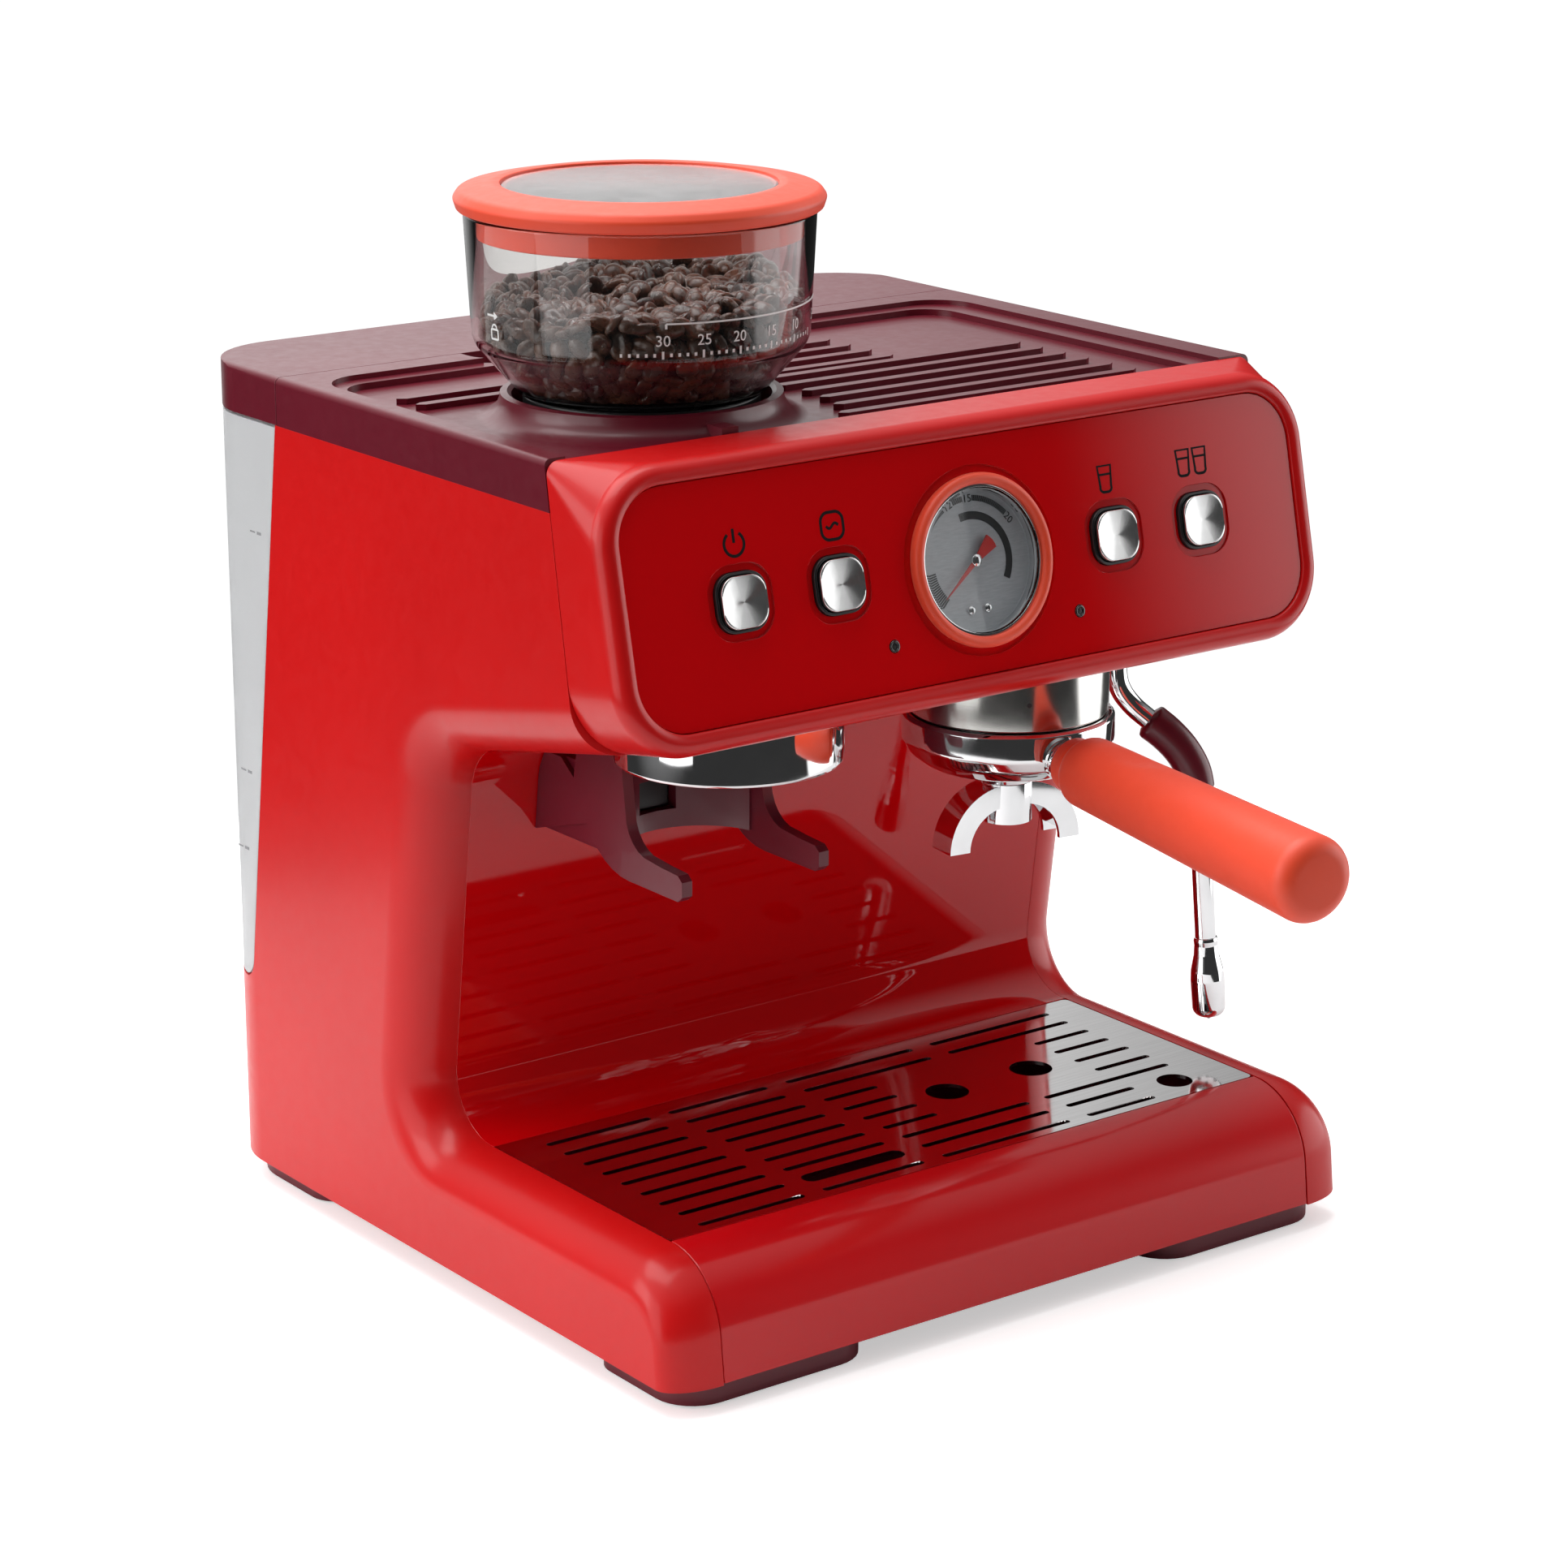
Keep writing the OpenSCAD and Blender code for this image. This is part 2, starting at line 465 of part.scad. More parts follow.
module tank_lid() color(maroon) {
 difference() {
  intersection() {
   along_x(2 * hw) polygon([[246.8, strip_z + 0.1], [body_d, strip_z + 0.1], [body_d, cover_z],
    [246.8, cover_z]]);
   plan(hw, 200, body_d, 0, 35, 400);
   translate([0, 330, 0]) rotate([90, 0, 0]) linear_extrude(height = 100) polygon(rounded(
    [[-hw, 290], [hw, 290], [hw, cover_z], [-hw, cover_z]], [0, 0, 2.5, 2.5], [1, 1, 5, 5]));
  }
  intersection() {
   translate([-200, 249.4, 280]) cube([400, 80, 29.5]);
   plan(hw - 3, 200, body_d - 3, 0, 32, 400);
  }
  translate([-132, 300, 280]) cube([264, 30, 22]);
 }
 for (s = [-1, 1]) difference() {
  translate([s * 56, 308.6, 298.4]) {
   rotate([0, 90, 0]) translate([0, 0, -4]) cylinder(r = 3.2, h = 8);
   translate([-4, -2, 0]) cube([8, 4, 11.5]);
  }
  translate([s * 56, 308.6, 298.4]) rotate([0, 90, 0]) translate([0, 0, -6])
   cylinder(r = 1.5 + pin_gap, h = 12);
 }
}

module drip_tray() color(maroon) difference() {
 union() {
  translate([-tray_hw, 32.4, slide_gap]) cube([2 * tray_hw, 110.3, 40.7]);
  translate([-tray_hw, 7, slide_gap]) cube([2 * tray_hw, 26, 3]);
 }
 translate([0, 87.7, 3.2]) tile(2 * tray_hw - 5, 105, 6, 60);
}
function nose(d) = let (a = side_a[8] + [0, -d], b = side_b[8] + [0, -d],
 e = push(side_a[9], side_b[9], d), f = side_a[9] + e, g = side_b[9] + e, v = isect(a, b, f, g))
 concat([[32, 42.7 - d]], corner(a, v, g, 29 - d, 12), [isect(f, g, [0, slide_gap], [9, slide_gap])]);
module tray_front() color(deep_red) along_x(2 * tray_hw)
 polygon(concat(nose(0), back(nose(3))));

slot_ys = [133, 121.5, 109, 97, 85, 73, 61.5, 50, 38];
module slot(x0, x1, y, w = 3) translate([(x0 + x1) / 2, y, 40])
 linear_extrude(height = 5) polygon(rounded([[-(x1 - x0) / 2, -w / 2], [(x1 - x0) / 2, -w / 2],
 [(x1 - x0) / 2, w / 2], [-(x1 - x0) / 2, w / 2]], [w, w, w, w] * 0.499, [3, 3, 3, 3]));
module grille() color(steel) {
 difference() {
  translate([0, 87.5, 41.2]) tile(2 * tray_hw - 0.2, 110.2, 2.5, 1.4);
  for (k = [0:8]) {
   slot(-120, -74, slot_ys[k]);
   slot(-65.5, -20, slot_ys[k], k == 7 ? 7.6 : 3);
   slot(-11, [50, 50, 14, 14, 14, 14, 49, 49, 49][k], slot_ys[k]);
   slot([59, 59, 92, 92, 92, 92, 57, 58, 58][k], [119, 119, 119, 119, 119, 119, 118.5, 91, 91][k],
    slot_ys[k]);
  }
  translate([32, 89, 30]) cylinder(r = 8.3, h = 20);
  translate([73.5, 89.5, 30]) cylinder(r = 8.3, h = 20);
  translate([108.7, 46.5, 30]) cylinder(r = 6.9, h = 20);
 }
 translate([0, 87.7, 36.5]) difference() {
  tile(2 * tray_hw - 6.4, 103.4, 5, 4.7);
  translate([0, 0, -1]) tile(2 * tray_hw - 9, 100.8, 4, 9);
 }
}

// portafilter, handle turned in a little from straight ahead
module at_handle() at_group() rotate([0, 0, -turn_in]) translate([0, 0, 181]) rotate([91, 0, 0])
 children();
module portafilter_body() color(steel) {
 difference() {
  union() {
   at_group() rotate_extrude() polygon([[0, 163.2], [9.6, 163.2], [11, 167.8], [22, 168.5],
    [31, 171], [37, 175.5], [39.5, 180.5], [39.5, 189.4], [38.5, 190.6], [31.7, 190.6],
    [31.7, 203.3], [0, 203.3]]);
   at_group() rotate([0, 0, -turn_in]) intersection() {
    translate([0, 0, 194.7]) cylinder(r = 34.4, h = 3.9);
    translate([-36, -7.5, 190]) cube([72, 15, 10]);
   }
   at_handle() translate([0, 0, 35]) cylinder(r1 = 8.4, r2 = 7.6, h = 9.8);
   at_handle() translate([0, 0, 40]) cylinder(r = 4.5, h = 24);
  }
  at_group() rotate_extrude() polygon([[0, 160], [3, 160], [3, 172], [10, 174], [29.8, 177.5],
   [30.3, 179], [30.3, 210], [0, 210]]);
 }
}
module filter_basket() color(steel) at_group() difference() {
 rotate_extrude() polygon([[0, 178.8], [29, 178.8], [30, 180], [30, 203.4], [31.4, 203.4],
  [31.4, 204.4], [29.2, 204.4], [29.2, 180], [28.6, 179.6], [0, 179.6]]);
 for (k = [1:3], j = [0:6 * k - 1]) rotate([0, 0, j * 60 / k]) translate([k * 7.5, 0, 176])
  cylinder(r = 0.6, h = 6, $fn = 12);
}
function arc2(r, q, a, b) = [for (i = [0:q]) r * [cos(a + (b - a) * i / q), sin(a + (b - a) * i / q)]];
module spout_half(w, ro, ri) translate([4, 0, 139]) rotate([90, 0, 0]) translate([0, 0, -w / 2])
 linear_extrude(height = w) polygon(concat(arc2(ro, 14, 0, 90), arc2(ri, 14, 90, 0)));
module twin_spout() color(steel) at_group() rotate([0, 0, -turn_in]) difference() {
 union() {
  translate([0, 0, 148]) cylinder(r = 9.4, h = 15.1);
  for (m = [0, 1]) mirror([m, 0, 0]) difference() {
   spout_half(13, 24, 15.5);
   spout_half(9.6, 22.4, 12);
  }
 }
 translate([0, 0, 158]) cylinder(r = 3, h = 10);
 for (s = [-1, 1]) translate([0, 0, 159]) rotate([0, s * 90, 0]) cylinder(r = 2, h = 12);
}
module portafilter_handle() color(coral) at_handle() difference() {
 rotate_extrude() polygon(concat([[4.5, 45], [9, 45]], corner([9, 45], [10.2, 45], [10.2, 50], 1.1, 3),
  [[10.2, 50], [9.9, 51.5], [10.6, 52.6]], corner([10.6, 52.6], [13.2, 55], [15.4, 190], 5, 5),
  corner([13.2, 55], [15.5, handle_reach], [0, handle_reach], 7, 6), [[0, handle_reach], [0, 64.2],
  [4.5, 64.2]]));
 translate([0, 72.4, 86]) rotate([0, 90, 0]) cylinder(r = 60, h = 60, center = true, $fn = 120);
}

// steam wand, in its own plane turned wand_az from straight ahead
module at_wand() translate([wand_x, wand_y, 0]) rotate([0, 0, wand_az]) children();
wand_path = [[0, 204], [0.5, 191], [2.5, 184.5], [7, 178.8], [13, 173.8], [20, 168.4], [26, 162],
 [30.4, 154.4], [32.5, 146], [33.4, 136], [37, 86.8]];
function way(i) = unit(wand_path[min(i + 1, len(wand_path) - 1)] - wand_path[max(i - 1, 0)]);
function hoop(i, r) = let (c = wand_path[i], t = way(i)) [for (q = [0:15:345])
 [r * cos(q), -c[0] + r * sin(q) * t[1], c[1] + r * sin(q) * t[0]]];
module wand_tube() color(steel) at_wand() {
 translate([0, 0, wand_z]) sphere(r = ball_r);
 loft([for (i = [0:10]) hoop(i, 4.1)]);
}
module wand_grip() color(maroon) at_wand() loft(concat(
 [hoop(4, 5.2), hoop(4, 6.4)], [for (i = [5:7]) hoop(i, 7.3)], [hoop(8, 6.8), hoop(8, 5.4)],
 [for (i = [8:-1:4]) hoop(i, 4.2)]), closed = true);
module wand_tip() color(steel) at_wand() translate([0, -37, 86.8]) rotate([180 - 4.18, 0, 0])
 difference() {
  rotate_extrude() polygon(concat([[0, 0.2], [4.6, 0.2], [4.6, 2], [5, 6], [6.4, 12], [6.7, 16]],
   corner([6.7, 16], [6.4, 31], [0, 31], 4, 4), [[0, 31]]));
  for (k = [0:3]) rotate([0, 0, k * 90]) translate([3, 0, 28]) cylinder(r = 0.7, h = 5, $fn = 16);
 }
module wand_seat() color([0.85, 0.85, 0.8]) translate([wand_x, wand_y, 0]) difference() {
 translate([0, 0, 201.4]) cylinder(r = 10.5, h = 9.9);
 translate([0, 0, wand_z]) sphere(r = ball_r + pin_gap);
}
module wand_socket() color(steel) translate([wand_x, wand_y, 0]) difference() {
 translate([0, 0, 199.7]) cylinder(r = 13, h = 14.3);
 translate([0, 0, 201.1]) cylinder(r = 10.5 + pin_gap, h = 10.5);
 translate([0, 0, 199]) cylinder(r = 9.3, h = 5);
 translate([0, 0, 210]) cylinder(r = 4.5, h = wand_z + ball_r + 0.5 - 210);
}
module hot_water_spout() color(steel) translate([51.5, 128.5, 0]) difference() {
 translate([0, 0, 163]) cylinder(r = 5, h = 57);
 translate([0, 0, 160]) cylinder(r = 3.4, h = 55);
}
module steam_knob() color(dark) translate([0, knob_y, knob_z]) rotate([0, 90, 0]) {
 difference() {
  translate([0, 0, hw + 0.4]) cylinder(r = 19, h = knob_out - 0.4);
  for (k = [0:11]) rotate([0, 0, k * 30]) translate([21.4, 0, hw + 3]) cylinder(r = 4, h = 20);
 }
 translate([0, 0, iw - 1]) cylinder(r = 4, h = 24);
}

placed() base();
placed() foot_pads();
placed() inner_frame();
placed() side_left();
placed() side_right();
placed() splash_panel();
placed() front_bezel();
placed() control_panel();
placed() top_cover();
placed() rear_bay();
placed() hood_floor();
placed() case_screws();
placed() grinder_housing();
placed() grinder_drive();
placed() lower_burr();
placed() grounds_chute();
placed() grinder_ring();
placed() dosing_fork();
placed() grind_trigger();
placed() hopper_jar();
placed() hopper_base();
placed() hopper_beans();
placed() upper_burr();
placed() hopper_lid();
placed() lid_window();
placed() group_head();
placed() group_collar();
placed() group_gasket();
placed() shower_screen();
placed() boiler();
placed() pump();
placed() switch_board();
placed() power_gland();
placed() portafilter_body();
placed() filter_basket();
placed() twin_spout();
placed() portafilter_handle();
placed() wand_socket();
placed() wand_seat();
placed() wand_tube();
placed() wand_grip();
placed() wand_tip();
placed() hot_water_spout();
placed() steam_knob();
placed() button_trims();
placed() button_power();
placed() button_manual();
placed() button_single();
placed() button_double();
placed() status_leds();
placed() gauge_ring();
placed() gauge_case();
placed() gauge_glass();
placed() gauge_needle();
placed() water_tank();
placed() tank_lid();
placed() drip_tray();
placed() tray_front();
placed() grille();
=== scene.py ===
"""Looks of the espresso machine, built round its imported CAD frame.

Shapes are worked out in the part's own datum, in millimetres: x = 0 in the middle between the
side shells, y = 0 at the foot of the tray front, z = 0 at the underside of the shells.
"""
import json
import math
import random

import bmesh
import bpy
import numpy as np
from mathutils import Matrix, Vector


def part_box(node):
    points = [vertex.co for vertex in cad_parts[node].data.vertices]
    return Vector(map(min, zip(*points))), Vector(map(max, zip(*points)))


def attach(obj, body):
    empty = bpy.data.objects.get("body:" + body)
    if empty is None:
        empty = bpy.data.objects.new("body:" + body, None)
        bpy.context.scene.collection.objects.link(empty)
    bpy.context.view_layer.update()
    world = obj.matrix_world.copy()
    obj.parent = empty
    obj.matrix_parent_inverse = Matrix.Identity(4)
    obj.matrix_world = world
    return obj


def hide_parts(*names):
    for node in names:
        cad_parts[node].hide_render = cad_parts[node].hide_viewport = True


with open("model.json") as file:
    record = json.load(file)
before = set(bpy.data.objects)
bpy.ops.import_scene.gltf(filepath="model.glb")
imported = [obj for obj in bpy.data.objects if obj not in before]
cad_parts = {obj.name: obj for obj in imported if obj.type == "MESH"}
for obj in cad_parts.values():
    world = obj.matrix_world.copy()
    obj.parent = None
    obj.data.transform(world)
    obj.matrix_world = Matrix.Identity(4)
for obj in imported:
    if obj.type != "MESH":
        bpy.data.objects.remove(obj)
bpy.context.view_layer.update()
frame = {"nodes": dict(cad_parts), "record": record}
NODES = frame["nodes"]
BODY_OF = {n: b for b, ns in frame["record"]["behaviour"]["bodies"].items() for n in ns}
SLOT_OF = {s["node"]: s["material_slot"] for s in frame["record"]["subparts"]}

# ---------------------------------------------------------------- datum and driving sizes
MM = 0.001
BODY_D = 312.0
LEFT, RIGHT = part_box("side_left"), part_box("side_right")
ORIGIN = Vector(((LEFT[0].x + RIGHT[1].x) / 2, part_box("tank_lid")[1].y - BODY_D * MM, RIGHT[0].z))
HW = (RIGHT[1].x - LEFT[0].x) / 2 / MM
IW = HW - 21
CHEEK = HW - IW
STRIP_Z = 295.6
TILT = 12.356
PANEL_Y, PANEL_Z, PANEL_H, PANEL_HW = 26.1, 224.8, 82.7, 149.2
GAUGE_V, BUTTON_V = 39.7, 40.0
BUTTON_XS = (-103.2, -61.9, 61.8, 103.1)
LED_XS, LED_V = (-41.8, 41.8), 15.6
GROUP = (54.0, 83.0)
GRIND_X, BURR_Y, RING_Y = -76.0, 131.0, 80.0
TURN_IN = 8.0
WAND = (116.0, 94.0, 204.0)
WAND_AZ = 45.0
WAND_PATH = [(0, 204), (0.5, 191), (2.5, 184.5), (7, 178.8), (13, 173.8), (20, 168.4), (26, 162),
             (30.4, 154.4), (32.5, 146), (33.4, 136), (37, 86.8)]

DATUM = Matrix.Translation(ORIGIN)


def turn(degrees, axis):
    return Matrix.Rotation(math.radians(degrees), 4, axis)


def at(x, y, z=0.0):
    """Placement of a point given in datum millimetres."""
    return DATUM @ Matrix.Translation(Vector((x, y, z)) * MM)


ON_PANEL = at(0, PANEL_Y, PANEL_Z) @ turn(90 - TILT, "X")
ON_GAUGE = ON_PANEL @ Matrix.Translation((0, GAUGE_V * MM, 0))
AT_GROUP = at(*GROUP)
AT_BURR = at(GRIND_X, BURR_Y)
AT_HANDLE = AT_GROUP @ turn(-TURN_IN, "Z") @ Matrix.Translation((0, 0, 181 * MM)) @ turn(91, "X")
AT_WAND = at(WAND[0], WAND[1]) @ turn(WAND_AZ, "Z")


# ---------------------------------------------------------------- flat geometry
def vec(*p):
    return np.array(p, float)


def unit(v):
    return v / np.linalg.norm(v)


def meet(a, b, c, d):
    """Where the lines a-b and c-d cross."""
    r, s = b - a, d - c
    t = ((c[0] - a[0]) * s[1] - (c[1] - a[1]) * s[0]) / (r[0] * s[1] - r[1] * s[0])
    return a + r * t


def corner(a, b, c, radius, steps):
    """Arc that rounds the corner b between a and c."""
    a, b, c = vec(*a), vec(*b), vec(*c)
    if radius < 0.01:
        return [b]
    u, v = unit(a - b), unit(c - b)
    half = math.acos(max(-1, min(1, float(u @ v)))) / 2
    mid = b + unit(u + v) * radius / math.sin(half)
    p, q = b + u * radius / math.tan(half) - mid, b + v * radius / math.tan(half) - mid
    a0 = math.atan2(p[1], p[0])
    sweep = (math.atan2(q[1], q[0]) - a0 + math.pi) % (2 * math.pi) - math.pi
    return [mid + radius * vec(math.cos(a0 + sweep * i / steps), math.sin(a0 + sweep * i / steps))
            for i in range(steps + 1)]


def rounded(points, radii, steps):
    """Closed outline with each corner rounded."""
    k = len(points)
    if not hasattr(radii, "__len__"):
        radii = [radii] * k
    if not hasattr(steps, "__len__"):
        steps = [steps] * k
    out = []
    for i in range(k):
        out += corner(points[i - 1], points[i], points[(i + 1) % k], radii[i], steps[i])
    return out


def tile(w, h, radius, steps=10):
    return rounded([(-w / 2, -h / 2), (w / 2, -h / 2), (w / 2, h / 2), (-w / 2, h / 2)], radius, steps)


def arc(radius, a0, a1, steps, centre=(0, 0)):
    return [vec(centre[0] + radius * math.cos(math.radians(a0 + (a1 - a0) * i / steps)),
                centre[1] + radius * math.sin(math.radians(a0 + (a1 - a0) * i / steps)))
            for i in range(steps + 1)]


# ---------------------------------------------------------------- mesh pieces
def piece(name, points, faces, body, slot, look, place=DATUM, stands_for=(), sharp=35, recalc=True):
    """A mesh from points in millimetres, placed, given its look and tied to its body."""
    mesh = bpy.data.meshes.new(name)
    mesh.from_pydata([Vector(p) * MM for p in points], [], faces)
    bm = bmesh.new()
    bm.from_mesh(mesh)
    bmesh.ops.remove_doubles(bm, verts=bm.verts, dist=2e-6)
    bmesh.ops.dissolve_degenerate(bm, edges=bm.edges, dist=1e-6)
    if recalc:
        bmesh.ops.recalc_face_normals(bm, faces=bm.faces)
    bm.to_mesh(mesh)
    bm.free()
    return settle(name, mesh, body, look, place, stands_for, sharp)


def settle(name, mesh, body, look, place=Matrix.Identity(4), stands_for=(), sharp=35):
    mesh.polygons.foreach_set("use_smooth", [True] * len(mesh.polygons))
    mesh.set_sharp_from_angle(angle=math.radians(sharp))
    obj = bpy.data.objects.new(name, mesh)
    bpy.context.scene.collection.objects.link(obj)
    obj.matrix_world = place
    mesh.materials.append(look)
    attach(obj, body)
    if stands_for:
        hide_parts(*stands_for)
    return obj


def soften(obj, width, segments=3, angle=32):
    """Rounds the sharp edges by width millimetres."""
    bevel = obj.modifiers.new("edge_radius", "BEVEL")
    bevel.width = width * MM
    bevel.segments = segments
    bevel.limit_method = "ANGLE"
    bevel.angle_limit = math.radians(angle)
    bevel.use_clamp_overlap = True
    normals = obj.modifiers.new("face_normals", "WEIGHTED_NORMAL")
    normals.mode = "FACE_AREA"
    normals.weight = 100
    normals.keep_sharp = True
    return obj


def refined(node, look, width=0.5, segments=2, angle=32, flat=0.4):
    """The CAD node's own shape with rounded edges."""
    bm = bmesh.new()
    bm.from_mesh(NODES[node].data)
    bmesh.ops.remove_doubles(bm, verts=bm.verts, dist=5e-6)
    bmesh.ops.dissolve_limit(bm, angle_limit=math.radians(flat), verts=bm.verts, edges=bm.edges)
    mesh = bpy.data.meshes.new(node + "_body")
    bm.to_mesh(mesh)
    bm.free()
    obj = settle(node + "_body", mesh, BODY_OF[node], look, stands_for=(node,))
    return soften(obj, width, segments, angle) if width else obj


def lathe_mesh(profile, steps=128):
    """Closed profile of (radius, height) points turned about the axis."""
    points, faces, rings = [], [], []
    for r, z in profile:
        if r < 1e-6:
            rings.append([len(points)] * steps)
            points.append((0, 0, z))
            continue
        rings.append(list(range(len(points), len(points) + steps)))
        points += [(r * math.cos(2 * math.pi * j / steps), r * math.sin(2 * math.pi * j / steps), z)
                   for j in range(steps)]
    for i in range(len(rings)):
        a, b = rings[i], rings[(i + 1) % len(rings)]
        for j in range(steps):
            q = [a[j], a[(j + 1) % steps], b[(j + 1) % steps], b[j]]
            q = [v for n, v in enumerate(q) if v not in q[:n]]
            if len(q) > 2:
                faces.append(q)
    return points, faces


def lathe(node, profile, radii, look, place, name=None, steps=128, arc_steps=5, stands=True):
    """Turned piece: its profile's corners are rounded by radii."""
    outline = rounded(profile, radii, arc_steps)
    points, faces = lathe_mesh([(max(0.0, p[0]), p[1]) for p in outline], steps)
    return piece(name or node + "_turned", points, faces, BODY_OF[node], SLOT_OF[node], look, place,
                 (node,) if stands else (), sharp=28)


def skin(rings, closed=False, caps=True):
    """Quads between rings of equal length, with one polygon on each end."""
    k = len(rings[0])
    points = [p for ring in rings for p in ring]
    faces = []
    for i in range(len(rings) if closed else len(rings) - 1):
        a, b = i * k, ((i + 1) % len(rings)) * k
        faces += [[a + j, b + j, b + (j + 1) % k, a + (j + 1) % k] for j in range(k)]
    if caps and not closed:
        faces += [list(range(k)), [(len(rings) - 1) * k + j for j in range(k - 1, -1, -1)]]
    return points, faces


def sweep(path, radius, steps=32, caps=True):
    """Round section carried along a flat path of (out, up) points; radius is one per point."""
    rings = []
    for i, c in enumerate(path):
        t = unit(vec(*path[min(i + 1, len(path) - 1)]) - vec(*path[max(i - 1, 0)]))
        rings.append([(radius[i] * math.cos(q), -c[0] + radius[i] * math.sin(q) * t[1],
                       c[1] + radius[i] * math.sin(q) * t[0])
                      for q in (2 * math.pi * j / steps for j in range(steps))])
    return skin(rings, caps=caps)


def smooth_path(points, per=6):
    """Catmull-Rom curve through the points."""
    p = [vec(*q) for q in points]
    p = [2 * p[0] - p[1]] + p + [2 * p[-1] - p[-2]]
    out = []
    for i in range(1, len(p) - 2):
        for s in range(per):
            t = s / per
            out.append(0.5 * ((2 * p[i]) + (p[i + 1] - p[i - 1]) * t
                              + (2 * p[i - 1] - 5 * p[i] + 4 * p[i + 1] - p[i + 2]) * t * t
                              + (3 * p[i] - p[i - 1] - 3 * p[i + 1] + p[i + 2]) * t ** 3))
    return out + [p[-2]]


def merge(parts):
    """Several (points, faces) sets as one."""
    points, faces = [], []
    for p, f in parts:
        faces += [[v + len(points) for v in face] for face in f]
        points += list(p)
    return points, faces


def slab(outline, z0, z1):
    """Flat outline as a thin solid."""
    return skin([[(p[0], p[1], z0) for p in outline], [(p[0], p[1], z1) for p in outline]])


def stroke(line, width, closed=False, z0=-0.05, z1=0.05):
    """Printed line of one width along points."""
    line = [vec(*p) for p in line]
    n = len(line)
    rings = []
    for i, p in enumerate(line):
        a = line[(i - 1) % n] if closed or i else p
        b = line[(i + 1) % n] if closed or i < n - 1 else p
        t = unit(b - a)
        s = vec(-t[1], t[0]) * width / 2
        rings.append([(*(p + s), z0), (*(p - s), z0), (*(p - s), z1), (*(p + s), z1)])
    return skin(rings, closed=closed)


def words(text, size, depth=0.05):
    """Digits as a thin solid, centred on the origin."""
    curve = bpy.data.curves.new("digits", "FONT")
    curve.body = text
    curve.size = size
    curve.align_x = "CENTER"
    curve.align_y = "CENTER"
    curve.extrude = depth
    curve.resolution_u = 3
    temp = bpy.data.objects.new("digits", curve)
    bpy.context.scene.collection.objects.link(temp)
    bpy.context.view_layer.update()
    mesh = bpy.data.meshes.new_from_object(temp.evaluated_get(bpy.context.evaluated_depsgraph_get()))
    points = [tuple(v.co) for v in mesh.vertices]
    faces = [list(f.vertices) for f in mesh.polygons]
    bpy.data.objects.remove(temp)
    bpy.data.curves.remove(curve)
    bpy.data.meshes.remove(mesh)
    return points, faces


def moved(part, x=0.0, y=0.0, z=0.0, spin=0.0):
    """A (points, faces) set turned about Z and shifted."""
    c, s = math.cos(math.radians(spin)), math.sin(math.radians(spin))
    return [(p[0] * c - p[1] * s + x, p[0] * s + p[1] * c + y, p[2] + z) for p in part[0]], part[1]


def wrapped(part, radius_at, angle0):
    """Lays a flat part round an upright cylinder: x goes round it, y goes up, z goes out."""
    out = []
    for p in part[0]:
        r = radius_at(p[1])
        a = math.radians(angle0) + p[0] / r
        out.append(((r + p[2]) * math.cos(a), (r + p[2]) * math.sin(a), p[1]))
    return out, part[1]


# ---------------------------------------------------------------- materials
class Look:
    """A node material: one Principled shader and the textures that feed it."""

    def __init__(self, name, **values):
        self.mat = bpy.data.materials.new(name)
        self.mat.use_nodes = True
        self.nodes = self.mat.node_tree.nodes
        self.links = self.mat.node_tree.links
        self.shader = self.nodes["Principled BSDF"]
        self.coords = self.nodes.new("ShaderNodeTexCoord").outputs["Object"]
        self.normal = None
        for socket, value in values.items():
            self.shader.inputs[socket.replace("_", " ")].default_value = value

    def noise(self, scale, stretch=(1, 1, 1), detail=2.0, roughness=0.5, seed=0.0):
        """Noise with `scale` cells a metre, stretched along the axes."""
        mapping = self.nodes.new("ShaderNodeMapping")
        mapping.inputs["Scale"].default_value = stretch
        mapping.inputs["Location"].default_value = (seed, seed * 0.7, seed * 1.3)
        tex = self.nodes.new("ShaderNodeTexNoise")
        tex.inputs["Scale"].default_value = scale
        tex.inputs["Detail"].default_value = detail
        tex.inputs["Roughness"].default_value = roughness
        self.links.new(self.coords, mapping.inputs["Vector"])
        self.links.new(mapping.outputs["Vector"], tex.inputs["Vector"])
        return tex.outputs["Fac"]

    def spread(self, value, low, high, span=(0.3, 0.7)):
        """Maps a texture from its usual span onto low to high."""
        node = self.nodes.new("ShaderNodeMapRange")
        node.inputs["From Min"].default_value = span[0]
        node.inputs["From Max"].default_value = span[1]
        node.inputs["To Min"].default_value = low
        node.inputs["To Max"].default_value = high
        self.links.new(value, node.inputs["Value"])
        return node.outputs["Result"]

    def colour(self, value, dark, light, span=(0.3, 0.7)):
        ramp = self.nodes.new("ShaderNodeValToRGB")
        ramp.color_ramp.elements[0].position = span[0]
        ramp.color_ramp.elements[1].position = span[1]
        ramp.color_ramp.elements[0].color = (*dark, 1)
        ramp.color_ramp.elements[1].color = (*light, 1)
        self.links.new(value, ramp.inputs["Fac"])
        self.links.new(ramp.outputs["Color"], self.shader.inputs["Base Color"])
        return self

    def rough(self, value, low, high, span=(0.3, 0.7)):
        self.links.new(self.spread(value, low, high, span), self.shader.inputs["Roughness"])
        return self

    def bump(self, value, depth_mm, strength=1.0):
        node = self.nodes.new("ShaderNodeBump")
        node.inputs["Distance"].default_value = depth_mm * MM
        node.inputs["Strength"].default_value = strength
        self.links.new(value, node.inputs["Height"])
        if self.normal:
            self.links.new(self.normal, node.inputs["Normal"])
        self.normal = node.outputs["Normal"]
        self.links.new(self.normal, self.shader.inputs["Normal"])
        return self


def shade(colour, factor):
    return tuple(min(1.0, c * factor) for c in colour)


